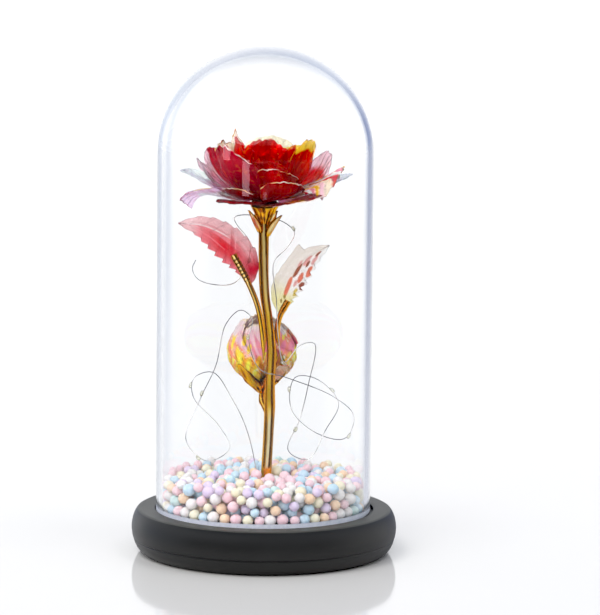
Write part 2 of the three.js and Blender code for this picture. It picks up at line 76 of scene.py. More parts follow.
STEM_ROUTE = [
    (0, 0, 11.3), (0.1, 0, 20), (0.9, 0, 36), (2.0, 0, 62), (2.1, 0, 72), (2.6, 0, 88),
    (1.2, 0, 101), (-0.4, 0, 112), (-1.0, 0, 122), (-1.1, 0, 143.0),
]
LEFT_STALK_ROUTE = [
    (-0.8, -2.3, 84), (-0.9, -2.5, 92), (-2.0, -2.6, 101), (-3.6, -2.2, 108),
    (-6.4, -1.2, 115), (-10.2, -0.4, 122.5), (-14.2, -0.2, 129.5),
]
RIGHT_STALK_ROUTE = [(5.6, 2.2, 90), (5.0, 2.0, 97), (6.2, 1.4, 103), (9.6, 1.6, 109.6)]
BUD_STALK_ROUTE = [
    (1.8, 4.4, 55), (1.2, 7, 58.8), (-0.4, 12, 61.6), (BUD_X, 17, 63.4), (BUD_X, BUD_Y, 65.8),
]
WIRE_ROUTE = [
    (-3.2, 0, 19.5), (-3.3, -0.8, 33), (-7.6, -5, 53.9), (-14.1, -9, 68.5), (-22.3, -11, 80),
    (-30.3, -12, 77.4), (-30.2, -14, 69.5), (-19.4, -17, 58), (-14.5, -20, 48.6),
    (-23.9, -21, 43.2), (-33.1, -16, 51.2), (-27.8, -10, 67.6), (-21.1, -6, 82.3),
    (-17, -5, 100), (-10.6, -6, 106.3), (-5.6, -8, 102.6), (-7, -8.6, 93.5), (-2.2, -8, 81),
    (8.6, -8, 77.7), (29.8, -6, 68.9), (38.4, -4, 60.3), (34.6, -5, 50.8), (21.7, -9, 54),
    (11.3, -11, 64.7), (12.9, -11, 78.1), (22.3, -11, 77.4), (31.5, -10, 66.9),
    (26, -13, 55.6), (18.8, -18, 43.8), (10.2, -14, 46.9), (15.2, -6, 59.5),
    (18.5, -4, 73.2), (21.2, -3, 91.7), (14.9, -5, 91.1), (8.1, -7, 83.9), (5.6, -7, 94.7),
    (4.6, -5, 110.6), (3.4, -4.4, 126.9), (8.9, -3, 133), (12.2, -1, 139), (7.2, 4, 143.5),
    (-1, 7, 145), (-9, 3, 146.5), (-13.6, -1, 145.9), (-12.6, 5.6, 141.6), (-7.3, 7.2, 134.2),
    (-8.5, 7.6, 124.2), (-13.6, 6.6, 116.6), (-23.2, 1, 116.5), (-29.6, -2, 119.3),
    (-31.6, -3, 123.8), (-30.1, -3.4, 127.4),
]

# A whorl's petals lie on one bowl. Its foot is a radius and a height. Its reach and rise are a
# mean and what it gains towards +X and +Y. Belly and waist are shares of the reach and the rise.
HEAD_WHORLS = [
    dict(name="petal_outer", foot=(6.2, 0), reach=(36, 0.4, -0.5), rise=(10.6, -0.4, 1.5),
         belly=(0.38, 0.12), waist=(0.72, 0.74), share=0.98, taper=0.7, round=0.3,
         lean=4, lap=0.7, fold=0.5, roll=0.4, film="pearl", petals=[
             dict(azimuth=4, length=1.02, point=0.05, droop=-1.5), dict(azimuth=60, width=1.2),
             dict(azimuth=120, width=1.2), dict(azimuth=173, length=1.02, droop=-3.2),
             dict(azimuth=210, length=1.1, width=0.9, droop=1.8),
             dict(azimuth=242, length=0.9, width=1.25, droop=1),
             dict(azimuth=304, length=0.86, width=1.55, tilt=0.02)]),
    dict(name="petal_second", foot=(5, 1.2), reach=(27.6, 0, -0.5), rise=(21, -0.5, 1.6),
         belly=(0.62, 0.25), waist=(0.93, 0.46), share=1.14, taper=0.35, round=0.26,
         lean=-6, lap=0.85, fold=0.5, roll=0.6, film="pink", petals=[
             dict(azimuth=20), dict(azimuth=66, length=0.94),
             dict(azimuth=123, length=0.92, point=0.22, width=0.8), dict(azimuth=156, length=0.96),
             dict(azimuth=206, length=0.99, width=1.15),
             dict(azimuth=242, length=0.68, tilt=0.04),
             dict(azimuth=302, length=0.84, tilt=-0.2, width=1.3, droop=0.4),
             dict(azimuth=346, length=0.98, width=0.72, tilt=0.06, droop=6.5)]),
    dict(name="petal_third", foot=(3.8, 2), reach=(20, 0.3, -0.4), rise=(25.2, -0.8, 0),
         belly=(0.75, 0.3), waist=(1.0, 0.54), share=1.16, taper=0.3, round=0.18,
         lean=-14, lap=0.9, fold=0.4, roll=0.4, film="red", petals=[
             dict(azimuth=24, length=1.06), dict(azimuth=98), dict(azimuth=170, length=0.96),
             dict(azimuth=247, tilt=-0.14), dict(azimuth=314, length=0.74, tilt=-0.26)]),
    dict(name="petal_fourth", foot=(2.6, 2.6), reach=(12.4, 0, 0), rise=(24.4, 0, 0),
         belly=(0.8, 0.34), waist=(1.14, 0.6), share=1.14, taper=0.3, round=0.16,
         lean=-12, lap=0.8, fold=0.3, roll=0.4, film="red", petals=[
             dict(azimuth=14), dict(azimuth=104), dict(azimuth=194, length=1.12, width=1.15),
             dict(azimuth=284, length=0.86)]),
    dict(name="petal_heart", foot=(1.5, 3.2), reach=(4.8, 0, 0), rise=(22.6, 0, 0),
         belly=(1.1, 0.34), waist=(1.4, 0.64), share=1.1, taper=0.3, round=0.12,
         lean=-20, lap=0.6, fold=0.1, roll=0, film="red", petals=[
             dict(azimuth=60), dict(azimuth=180, length=0.97), dict(azimuth=300, length=0.95)]),
]
BUD_WHORLS = [
    dict(name="bud_petal_outer", foot=(2.5, 0.6), reach=(4.8, 0, 0), rise=(28.6, -1, 1),
         belly=(2.5, 0.15), waist=(4.8, 0.56), share=1.34, taper=0.3, round=0.26,
         lean=-40, lap=1.0, fold=0.3, roll=0.3, film="bud", petals=[
             dict(azimuth=14, length=0.97), dict(azimuth=88), dict(azimuth=160, length=0.98),
             dict(azimuth=228, length=0.96), dict(azimuth=344, length=0.52, width=0.62, droop=1.6)]),
    dict(name="bud_petal_inner", foot=(1.6, 1.4), reach=(2.6, 0, 0), rise=(28.2, 0, 0.4),
         belly=(2.7, 0.2), waist=(7.4, 0.56), share=1.3, taper=0.3, round=0.2,
         lean=-30, lap=0.7, fold=0.3, roll=0.2, film="bud", petals=[
             dict(azimuth=0), dict(azimuth=90), dict(azimuth=180, length=0.98),
             dict(azimuth=270, length=0.96)]),
]
LEAF_TEETH = 9
LEFT_LEAF = dict(
    vein=[(-6.2, 2.6, 117), (-9.5, 2.8, 126.5), (-17.8, 2.4, 135), (-27.5, 1.6, 141), (-38, 0.6, 142.9)],
    facing=(0.12, -1, 0.1), halves=(7.2, 7.6), teeth=(0.24, 0.12), barb=(0.6, 0.1, 0))
RIGHT_LEAF = dict(
    vein=[(6.4, 3.8, 103.6), (7.4, 4.4, 112.5), (12.2, 4.4, 121), (19, 3.8, 128.4), (27.2, 3, 133.6)],
    facing=(-0.1, -1, 0.12), halves=(6.4, 6.6), teeth=(0.05, 0.34), barb=(0.74, 0.3, 3.4))


# Sizes and colours


def colour(name, description, default):
    """A colour setting."""
    return FloatVectorProperty(name=name, description=description, subtype="COLOR",
                               size=3, min=0, max=1, default=default)


def length(name, description, default):
    """A length setting, in metres."""
    return FloatProperty(name=name, description=description, subtype="DISTANCE",
                         unit="LENGTH", min=0, default=default)


def share(name, description, default):
    """A setting between 0 and 1."""
    return FloatProperty(name=name, description=description, subtype="FACTOR",
                         min=0, max=1, default=default)


class RoseBaseSettings(bpy.types.PropertyGroup):
    side: colour("Side colour", "Colour of the base's outside", (0.023, 0.023, 0.0225))
    # Painted light: the top ring's colour is the side's plastic painted paler, where light from above falls
    # on it.
    top: colour("Top colour", "Colour of the ring outside the dome", (0.075, 0.075, 0.066))
    roughness: share("Roughness", "How dull the moulded plastic is", 0.42)
    seam: length("Seam depth", "Depth of the moulding seam round the side", 0.00025)


class RoseDomeSettings(bpy.types.PropertyGroup):
    outer_radius: length("Outer radius", "Radius of the dome's outside", 0.0465)
    wall: length("Wall", "Thickness of the glass", 0.0024)
    tint: colour("Tint", "Colour of the glass", (0.992, 0.996, 1.0))


class RoseBeadSettings(bpy.types.PropertyGroup):
    count: IntProperty(name="Bead tries", description="Most beads that are poured in",
                       min=10, default=2600)
    small: length("Smallest radius", "Radius of the smallest beads", 0.00195)
    large: length("Largest radius", "Radius of the largest beads", 0.00265)
    level: length("Level", "Height of the bed's top above the floor", 0.0342)


class RoseStemSettings(bpy.types.PropertyGroup):
    radius: length("Stem radius", "Mean radius of the main stem", 0.0021)
    stalk_radius: length("Stalk radius", "Radius of the side branches", 0.00115)


class RoseFilmSettings(bpy.types.PropertyGroup):
    thickness: length("Film thickness", "Thickness of petals and leaves", 0.00025)
    crinkle: length("Crinkle", "Height of the small creases", 0.00022)


class RoseWireSettings(bpy.types.PropertyGroup):
    diameter: length("Wire diameter", "Thickness of the light wire", 0.00036)
    drop_radius: length("Drop radius", "Half the width of a light drop", 0.0008)


class RoseStudioSettings(bpy.types.PropertyGroup):
    brightness: FloatProperty(name="Brightness", description="Strength of the room's light",
                              min=0, default=1.36)
    side: colour("Side walls", "Colour of the room to the left", (0.57, 0.62, 0.72))
    corner: colour("Corner", "Colour of the room behind and to the right", (0.25, 0.29, 0.43))


SETTINGS = {
    "rose_base": RoseBaseSettings, "rose_dome": RoseDomeSettings, "rose_beads": RoseBeadSettings,
    "rose_stem": RoseStemSettings, "rose_film": RoseFilmSettings, "rose_wire": RoseWireSettings,
    "rose_studio": RoseStudioSettings,
}


# Shape helpers


def smooth_route(points, count):
    """Evenly spaced points on a smooth curve through the points, with its directions."""
    p = np.array(points, float)
    p = np.vstack([2 * p[0] - p[1], p, 2 * p[-1] - p[-2]])
    fine = []
    for a, b, c, d in zip(p[:-3], p[1:-2], p[2:-1], p[3:]):
        ka, kb, kc = (max(np.linalg.norm(v - u) ** 0.5, 1e-6) for u, v in ((a, b), (b, c), (c, d)))
        leave = (b - a) / ka - (c - a) / (ka + kb) + (c - b) / kb
        arrive = (c - b) / kb - (d - b) / (kb + kc) + (d - c) / kc
        t = np.linspace(0, 1, 24, endpoint=False)[:, None]
        h = (2 * t**3 - 3 * t**2 + 1, t**3 - 2 * t**2 + t, -2 * t**3 + 3 * t**2, t**3 - t**2)
        fine.append(h[0] * b + h[1] * leave * kb + h[2] * c + h[3] * arrive * kb)
    fine = np.vstack(fine + [p[-2:-1]])
    along = np.concatenate([[0], np.cumsum(np.linalg.norm(np.diff(fine, axis=0), axis=1))])
    at = np.linspace(0, along[-1], count)
    line = np.stack([np.interp(at, along, fine[:, k]) for k in range(3)], axis=1)
    way = np.gradient(line, axis=0)
    return line, way / np.linalg.norm(way, axis=1, keepdims=True)


def smoothstep(x, low, high):
    """0 below low, 1 above high and a soft rise between them."""
    t = np.clip((x - low) / (high - low), 0, 1)
    return t * t * (3 - 2 * t)


def fading(x, low, high):
    """1 below low, 0 above high and a soft fall between them."""
    return smoothstep(-x, -high, -low)


def bell(*parts):
    """1 where every value of the (value, width) pairs is 0, and near 0 a few widths away."""
    return np.exp(-sum((value / width) ** 2 for value, width in parts))


def mixed(a, b, amount):
    """The colours a and b mixed point by point. Either may be one colour for all points."""
    a = np.asarray(a)
    return a + (np.asarray(b) - a) * amount[..., None]


def painted(tone, *layers):
    """Lays colours over a tone one after the other, each by its own amount at every point."""
    for over, amount in layers:
        tone = mixed(tone, over, amount)
    return tone


def ripples(seed, u, v, waves=6, pitch=5.0):
    """A smooth random height between about -1 and 1 over u and v."""
    random = np.random.default_rng(seed)
    total = np.zeros(np.broadcast(u, v).shape)
    for _ in range(waves):
        turn, start = random.uniform(0, 2 * math.pi, 2)
        rate = pitch * random.uniform(0.6, 1.8)
        total += np.sin(rate * (u * math.cos(turn) + v * math.sin(turn)) + start)
    return total / math.sqrt(waves)


def build_object(name, points, faces, uv=None, tint=None, crease=50):
    """A mesh object from points in millimetres, with smooth faces and sharp creases.

    A tint has three or four numbers for each point; the fourth, how clear it is, is 1 by default.
    """
    mesh = bpy.data.meshes.new(name)
    mesh.from_pydata((np.asarray(points) * MM).tolist(), [], faces)
    mesh.shade_smooth()
    mesh.set_sharp_from_angle(angle=math.radians(crease))
    if uv is not None:
        loops = np.zeros(len(mesh.loops), np.int32)
        mesh.loops.foreach_get("vertex_index", loops)
        layer = mesh.uv_layers.new(name="span")
        layer.data.foreach_set("uv", np.asarray(uv, np.float32)[loops].ravel())
    if tint is not None:
        tones = np.ones((len(points), 4), np.float32)
        tones[:, :np.shape(tint)[-1]] = np.reshape(tint, (len(points), -1))
        layer = mesh.color_attributes.new("tint", "FLOAT_COLOR", "POINT")
        layer.data.foreach_set("color", tones.ravel())
    mesh.update()
    obj = bpy.data.objects.new(name, mesh)
    bpy.context.scene.collection.objects.link(obj)
    return obj


def full_turn(sides):
    """Evenly spaced angles all round."""
    return np.linspace(0, 2 * math.pi, sides, endpoint=False)


def ringed(name, rings, ends, tint=None, crease=50):
    """A closed body from rings of points, with one more point that closes each end."""
    count, sides = np.shape(rings)[:2]
    points = np.vstack([np.reshape(rings, (-1, 3)), ends])
    start, end, last = len(points) - 2, len(points) - 1, (count - 1) * sides
    faces = []
    for j in range(count - 1):
        a, b = j * sides, (j + 1) * sides
        for k in range(sides):
            m = (k + 1) % sides
            faces.append((a + k, a + m, b + m, b + k))
    for k in range(sides):
        m = (k + 1) % sides
        faces += [(start, m, k), (end, last + k, last + m)]
    return build_object(name, points, faces, tint=tint, crease=crease)


def turned(name, profile, sides):
    """A profile that starts and ends on the Z axis, turned about it."""
    profile = np.array(profile, float)
    body = profile[1:-1]
    turn = full_turn(sides)
    rings = np.stack([
        np.outer(body[:, 0], np.cos(turn)), np.outer(body[:, 0], np.sin(turn)),
        np.repeat(body[:, 1:2], sides, axis=1)], axis=-1)
    ends = [[0, 0, profile[0, 1]], [0, 0, profile[-1, 1]]]
    return ringed(name, rings, ends, crease=35)


def frames_along(way):
    """Two directions across a route that turn as little as they can."""
    first = np.cross(way[0], (0.0, 1.0, 0.0))
    if np.linalg.norm(first) < 1e-3:
        first = np.cross(way[0], (1.0, 0.0, 0.0))
    across = [first / np.linalg.norm(first)]
    for d in way[1:]:
        a = across[-1] - d * (across[-1] @ d)
        across.append(a / np.linalg.norm(a))
    across = np.array(across)
    return across, np.cross(way, across)


ROD_SIDES = 48


def rod(name, route, section, count, seed, ribbed):
    """A closed rod along a route; section(angle, share along) gives its radius in mm.

    Between the two heights of ribbed it has dark rings.
    """
    line, way = smooth_route(route, count)
    across, up = frames_along(way)
    turn = full_turn(ROD_SIDES)[None, :]
    part = np.linspace(0, 1, count)[:, None]
    radius = section(turn, part)[..., None]
    points = line[:, None] + radius * (
        np.cos(turn)[..., None] * across[:, None] + np.sin(turn)[..., None] * up[:, None])
    height = line[:, 2:3] + 0 * turn
    tint = striped(turn + 0 * part, height, seed)
    dark = np.sin(height * 4.2 + 0.7 * np.sin(turn)) > 0.35
    dark = dark * (height > ribbed[0]) * (height < ribbed[1])
    tint = (tint * (1 - 0.75 * dark)[..., None]).reshape(-1, 3)
    return ringed(name, points, line[[0, -1]], np.vstack([tint, tint[:1], tint[-1:]]))


def striped(turn, height, seed):
    """The plating's long bright and dark stripes, as tints for points round and along a rod. They are painted
    reflections: the bright ones painted highlight, the dark ones painted dark reflection.

    Above the lowest part of the stem they turn golden, and below it, among the beads, orange, as a painted
    reflection.
    """
    wander = 0.3 * ripples(seed, 0 * turn, height / 25, 4, 2.0)
    phase = (turn / math.pi + 0.4 * wander) % 1.0
    at = [stop for stop, _ in PLATE_REFLECTION_STRIPES]
    tone = np.stack([np.interp(phase, at, [c[k] for _, c in PLATE_REFLECTION_STRIPES]) for k in range(3)], axis=-1)
    golden = np.minimum(tone * GILDING, DEEPEST_GOLD)
    tone = mixed(tone, golden, smoothstep(height, 55, 66) * (0.5 + 0.5 * fading(height, 100, 118)))
    # Painted reflection: the stem is painted orange where it stands among the beads.
    tone = mixed(tone, PLATE_ORANGE_REFLECTION, fading(height, 36.6, 37.4))
    return np.clip(tone, 0, 1)


def sheet_object(name, grid, thickness, tint, lift=None):
    """A closed thin sheet about a grid of points, moved along its normal by lift."""
    rows, columns = grid.shape[:2]
    across = np.gradient(grid, axis=1)
    along = np.gradient(grid, axis=0)
    normal = np.cross(across, along)
    normal /= np.maximum(np.linalg.norm(normal, axis=2, keepdims=True), 1e-9)
    if lift is not None:
        grid = grid + normal * lift[..., None]
    half = thickness / 2
    points = np.vstack([(grid + normal * half).reshape(-1, 3), (grid - normal * half).reshape(-1, 3)])
    under = rows * columns
    faces = []
    for j in range(rows - 1):
        for i in range(columns - 1):
            a = j * columns + i
            faces.append((a, a + 1, a + 1 + columns, a + columns))
            faces.append((under + a, under + a + columns, under + a + 1 + columns, under + a + 1))
    rim = list(range(columns - 1))
    rim += [j * columns + columns - 1 for j in range(rows - 1)]
    rim += [(rows - 1) * columns + i for i in range(columns - 1, 0, -1)]
    rim += [j * columns for j in range(rows - 1, 0, -1)]
    for k, a in enumerate(rim):
        b = rim[(k + 1) % len(rim)]
        faces.append((a, under + a, under + b, b))
    u, t = np.meshgrid(np.linspace(0, 1, columns), np.linspace(0, 1, rows))
    uv = np.stack([u, t], axis=-1).reshape(-1, 2)
    return build_object(name, points, faces, np.vstack([uv, uv]), np.stack([tint, tint]))


# Finishes


class Wiring:
    """Adds and links the nodes of one tree."""

    def __init__(self, tree):
        self.tree = tree

    def node(self, kind, *, out=0, **values):
        """Adds a node. A value is a setting, or it is set on or linked to the socket of its name.

        The names i0 and i1 stand for the first and the second socket.
        """
        made = self.tree.nodes.new(kind)
        late = {}
        for key, value in values.items():
            if hasattr(made, key):
                setattr(made, key, value)
            else:
                late[key] = value
        for key, value in late.items():
            socket = made.inputs[int(key[1:])] if key[1:].isdigit() else made.inputs[key.replace("_", " ")]
            if isinstance(value, bpy.types.NodeSocket):
                self.tree.links.new(value, socket)
            else:
                socket.default_value = value
        return made.outputs[out]

    def place(self, kind="Object"):
        """The point on the piece, on its sheet's span or in the room."""
        return self.node("ShaderNodeTexCoord", out={"Generated": 0, "UV": 2, "Object": 3}[kind])

    def scaled(self, vector, scale):
        return self.node("ShaderNodeMapping", Vector=vector, Scale=scale)

    def noise(self, vector, scale, detail=3.0, rough=0.55):
        return self.node("ShaderNodeTexNoise", Vector=vector, Scale=scale, Detail=detail,
                         Roughness=rough)

    def ramp(self, value, low, high, to_low=0.0, to_high=1.0):
        return self.node("ShaderNodeMapRange", Value=value, From_Min=low, From_Max=high,
                         To_Min=to_low, To_Max=to_high)

    def math(self, operation, a, b=0.0):
        return self.node("ShaderNodeMath", operation=operation, i0=a, i1=b)

    def mix(self, amount, a, b, blend="MIX"):
        made = self.tree.nodes.new("ShaderNodeMix")
        made.data_type = "RGBA"
        made.blend_type = blend
        for k, value in ((0, amount), (6, a), (7, b)):
            if isinstance(value, bpy.types.NodeSocket):
                self.tree.links.new(value, made.inputs[k])
            else:
                made.inputs[k].default_value = value if k == 0 else (*value[:3], 1)
        return made.outputs[2]

    def tinted(self, shade):
        """The piece's own tint, made darker or brighter by shade."""
        tint = self.node("ShaderNodeAttribute", attribute_name="tint")
        grey = self.node("ShaderNodeCombineColor", Red=shade, Green=shade, Blue=shade)
        return self.mix(1.0, tint, grey, "MULTIPLY")

    def bump(self, height, strength, distance):
        return self.node("ShaderNodeBump", Height=height, Strength=strength, Distance=distance)

    def colours(self, value, stops):
        """A colour ramp from (position, colour) stops."""
        made = self.tree.nodes.new("ShaderNodeValToRGB")
        self.tree.links.new(value, made.inputs[0])
        made.color_ramp.interpolation = "EASE"
        elements = made.color_ramp.elements
        while len(elements) < len(stops):
            elements.new(0.5)
        for element, (position, tone) in zip(elements, stops):
            element.position = position
            element.color = (*tone, 1)
        return made.outputs[0]


class Finish(Wiring):
    """A node material in the making."""

    def __init__(self, name, **sockets):
        self.material = bpy.data.materials.new(name)
        self.material.use_nodes = True
        super().__init__(self.material.node_tree)
        self.shader = self.tree.nodes["Principled BSDF"]
        for socket, value in sockets.items():
            self.shader.inputs[socket.replace("_", " ")].default_value = value

    def drive(self, **sockets):
        """Links the values to the shader's sockets and returns the material."""
        for socket, value in sockets.items():
            self.tree.links.new(value, self.shader.inputs[socket.replace("_", " ")])
        return self.material


def moulded_plastic(name, tone, roughness):
    """Dark satin plastic with a fine grain and faint cloudy wear."""
    made = Finish(name, IOR=1.46)
    place = made.place()
    cloud = made.noise(place, 26.0, 4.0)
    grain = made.noise(place, 2600.0, 2.0)
    dull = tuple(c * 1.25 for c in tone)
    base = made.mix(made.ramp(cloud, 0.35, 0.7), tone, dull)
    rough = made.ramp(cloud, 0.3, 0.75, roughness - 0.06, roughness + 0.08)
    return made.drive(Base_Color=base, Roughness=rough, Normal=made.bump(grain, 0.12, 0.0001))


def clear_glass(name, tint):
    """Clear polished glass with a very faint unevenness."""
    made = Finish(name, Transmission_Weight=1.0, IOR=1.47, Base_Color=(*tint, 1))
    place = made.place()
    wave = made.noise(made.scaled(place, (1, 1, 0.35)), 38.0, 1.0)
    smear = made.noise(place, 60.0, 3.0)
    return made.drive(Normal=made.bump(wave, 0.05, 0.0006),
                      Roughness=made.ramp(smear, 0.45, 0.8, 0.0, 0.02))


def foam(name, tone):
    """Foam beads: dull, softly lit through, with a fine cell pattern."""
    made = Finish(name, Subsurface_Weight=0.75, Subsurface_Scale=0.004, Subsurface_Radius=(1, 0.92, 0.88),
                  IOR=1.3, Specular_IOR_Level=0.3)
    place = made.place()
    cells = made.node("ShaderNodeTexVoronoi", Vector=place, Scale=1500.0)
    cloud = made.noise(place, 180.0, 2.0)
    paler = tuple(c * 0.85 + 0.12 for c in tone)
    base = made.mix(made.ramp(cloud, 0.35, 0.7, 0.0, 0.7), tone, paler)
    return made.drive(Base_Color=base, Roughness=made.ramp(cells, 0.0, 0.9, 0.5, 0.75),
                      Normal=made.bump(cells, 0.25, 0.0001))


def gold_plating(name):
    """Bright plating over plastic: the piece's tint, a little uneven, which carries painted reflections and
    highlights.
    """
    made = Finish(name, Metallic=1.0, Specular_Tint=(0.7, 0.45, 0.15, 1))
    place = made.place()
    patch = made.noise(made.scaled(place, (1, 1, 0.3)), 220.0, 3.0)
    fine = made.noise(made.scaled(place, (1, 1, 0.12)), 1500.0, 2.0)
    base = made.tinted(made.ramp(patch, 0.3, 0.72, 1.1, 0.8))
    return made.drive(Base_Color=base, Roughness=made.ramp(patch, 0.3, 0.8, 0.08, 0.2),
                      Normal=made.bump(fine, 0.12, 0.0002))


def ground_glass(name):
    """Finely ground glass, as on the dome's foot."""
    made = Finish(name, Transmission_Weight=0.4, IOR=1.47)
    grain = made.noise(made.place(), 900.0, 3.0)
    base = made.mix(made.ramp(grain, 0.35, 0.65), (0.74, 0.79, 0.88), (0.86, 0.9, 0.96))
    return made.drive(Base_Color=base, Roughness=made.ramp(grain, 0.3, 0.7, 0.4, 0.6),
                      Normal=made.bump(grain, 0.2, 0.0002))


def film(name, clearness, roughness, streaks, painted_glints=0.0, thin=0.0):
    """Glossy coloured film: the colour comes from the sheet's tint, broken by fine streaks, with orange
    glints painted along the crumples as painted highlights.

    The tint's fourth number times clearness is how much light the film lets through.
    """
    made = Finish(name, IOR=1.25, Thin_Film_Thickness=thin, Thin_Film_IOR=1.6)
    solid = made.node("ShaderNodeAttribute", attribute_name="tint", out=3)
    span = made.place("UV")
    place = made.place()
    line = made.noise(made.scaled(span, (11, 1.6, 1)), 1.0, 4.0, 0.6)
    base = made.tinted(made.ramp(line, 0.3, 0.72, 1 - streaks, 1 + streaks))
    crumple = made.node("ShaderNodeTexVoronoi", Vector=place, Scale=220.0, feature="DISTANCE_TO_EDGE")
    if painted_glints:
        # Painted highlights: orange glints painted into the colour where the crumples' edges cross the
        # streaks.
        spark = made.math("MULTIPLY", made.ramp(crumple, 0.05, 0.0), made.ramp(line, 0.48, 0.6))
        base = made.mix(made.math("MULTIPLY", spark, painted_glints), base, (1.0, 0.22, 0.01))
    height = made.math("ADD", made.math("MULTIPLY", line, 0.3), made.ramp(crumple, 0.0, 0.1))
    rough = made.ramp(line, 0.3, 0.8, roughness * 0.5, roughness * 1.8)
    return made.drive(Base_Color=base, Roughness=rough, Normal=made.bump(height, 0.3, 0.0003),
                      Transmission_Weight=made.math("MULTIPLY", solid, clearness))


def dress(obj, material, slot, *nodes):
    """Gives a finished piece its material and its place in the frame."""
    obj.data.materials.append(material)
    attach(obj, "root")
    if nodes:
        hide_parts(*nodes)
    return obj


# Petals

PETAL_COLUMNS = 61
PETAL_ROWS = 55
EDGE_CURL = 0.8


def swell(values, angle):
    """A mean that changes towards +X and towards +Y."""
    mean, side, back = values
    return mean + side * np.cos(angle) + back * np.sin(angle)


def bowl_line(whorl, angle, t):
    """Radius and height of the whorl's bowl at a share t of its line."""
    reach, rise = swell(whorl["reach"], angle), swell(whorl["rise"], angle)
    h = ((1 - t) ** 3, 3 * t * (1 - t) ** 2, 3 * t**2 * (1 - t), t**3)
    belly, waist, foot = whorl["belly"], whorl["waist"], whorl["foot"]
    radius = h[0] * foot[0] + h[1] * belly[0] * reach + h[2] * waist[0] * reach + h[3] * reach
    height = h[0] * foot[1] + h[1] * belly[1] * rise + h[2] * waist[1] * rise + h[3] * rise
    return radius, height


def creases(look, u, t):
    """Saw-shaped pleats across a petal: each point's height, place in its pleat and pleat number."""
    count, slant, height = look["pleats"]
    phase = count * (0.5 * u + slant * t) + 0.25 * ripples(look.get("seed", 3), u, t, 4, 5.0)
    saw = phase % 1.0
    return height * (saw - 0.5), saw, np.floor(phase)


def petal_grid(whorl, petal, look, seed):
    """The middle surface of one petal, with u across it and t along it for each point."""
    u, t = np.meshgrid(np.linspace(-1, 1, PETAL_COLUMNS), 1 - np.linspace(1, 0, PETAL_ROWS) ** 1.6)
    size, width = petal.get("length", 1), petal.get("width", 1)
    swelling = np.sin(math.pi / 2 * np.minimum(t / SHOULDER, 1))
    spread = FOOT_SHARE + (whorl["share"] - FOOT_SHARE) * swelling
    spread *= 1 - whorl["taper"] * np.maximum(t - SHOULDER, 0)
    turn = petal["azimuth"] + whorl["lean"] * t * t + u * width * spread * 180 / len(whorl["petals"])
    lapped = smoothstep(t, 0, 0.35)
    rolled = whorl["roll"] * u**4 * t * t + petal.get("droop", 0) * t**4
    lift = whorl["lap"] * u * lapped - whorl["fold"] * (1 - np.abs(u)) * t - rolled
    end = 1 - whorl["round"] * np.abs(u) ** 2.4 + petal.get("tilt", 0) * u
    end = end + petal.get("point", 0) * (1 - np.abs(u)) ** 3
    end = end + 0.012 * ripples(seed, u, 0 * t, 7, 14.0) + 0.008 * ripples(seed + 1, u, 0 * t, 5, 37.0)
    along = t * size * (1 + (end - 1) * t * t)
    angle = np.radians(turn)
    radius, height = bowl_line(whorl, angle, along)
    ahead, above = bowl_line(whorl, angle, along + 0.01)
    behind, below = bowl_line(whorl, angle, along - 0.01)
    out, up = ahead - behind, above - below
    norm = np.hypot(out, up)
    out, up = out / norm, up / norm
    # The very edge curls outwards, so that it catches the light.
    lift = lift - EDGE_CURL * smoothstep(t, 0.9, 1.0) ** 2 + look.get("twist", 0) * u * t**3
    if "pleats" in look:
        lift = lift + creases(look, u, t)[0] * smoothstep(t, 0.1, 0.4)
    radius = radius - up * lift
    grid = np.stack([radius * np.cos(angle), radius * np.sin(angle), height + out * lift], axis=-1)
    return grid, u, t


def tint_petal(look, u, t, seed):
    """The film's colour over one petal, and how clear it is."""
    cloud = ripples(seed + 5, u * 1.3, t, 5, 4.0)
    tone = look.get("tone", RED) * (1 + 0.3 * np.clip(cloud, -1, 1)[..., None])
    if "pleats" in look:
        _, saw, index = creases(look, u, t)
        layers = np.array(look["layers"])
        tone = layers[index.astype(int) % len(layers)]
        # Painted highlight on each pleat's crest, and painted shade at its foot under the next fold.
        tone = mixed(tone, CREAM, 0.8 * smoothstep(saw, 0.86, 0.97))
        tone = tone * (1 - 0.45 * fading(saw, 0.0, 0.22))[..., None]
    # Painted shade: each petal is darker towards its foot, deep among the others in the cup.
    tone = mixed(tone, DEEP_RED, fading(t, 0.1, 0.3))
    if "side" in look:
        middle, side = look["side"]
        way = -1 if middle < 0 else 1
        beyond = smoothstep(way * u + 0.1 * cloud, abs(middle) - 0.08, abs(middle) + 0.08)
        tone = mixed(tone, side, beyond * smoothstep(t, 0.3, 0.5))
    if "tip" in look:
        start = look.get("tip_from", 0.62)
        reach = t + 0.05 * cloud + 0.1 * u * look.get("tip_lean", 0)
        tone = mixed(tone, look["tip"], smoothstep(reach, start, start + look.get("tip_blend", 0.16)))
    for k, spot in enumerate(look.get("spots", ())):
        mark = ripples(seed + 9 + k, u * 2.4, t * 1.6, 6, 6.0)
        tone = mixed(tone, spot, smoothstep(mark, 0.55, 0.7) * smoothstep(t, 0.25, 0.4))
    tone = blotched(tone, u, t, look.get("blotches", ()))
    clear = np.ones(u.shape)
    # Painted highlight: the rim line along the curled edge, in the edge colour with patches of gold, where
    # the edge catches the light.
    if "rim" in look:
        start = 0.988 + 0.009 * ripples(seed + 7, u * 2, 0 * t, 6, 5.0)
        edge = smoothstep(t - start, 0, 0.004)
        gold_highlight = smoothstep(ripples(seed + 8, u * 2, 0 * t, 5, 3.0), -0.1, 0.6)
        tone = mixed(tone, mixed(look["rim"], RIM_GOLD, gold_highlight), edge)
        clear = 1 - 0.85 * edge
    return np.dstack([np.clip(tone, 0, 1), clear])


def blotched(tone, u, t, blotches):
    """Adds blotches: share along, place across, half length, half width and colour of each."""
    for at, over, long, wide, blotch in blotches:
        mark = ((t - at) / long) ** 2 + ((u - over + 0.8 * (t - at)) / wide) ** 2
        mark = mark + 0.25 * ripples(47, u * 4, t * 8, 4, 3.0)
        tone = mixed(tone, blotch, fading(mark, 0.7, 1.1))
    return tone


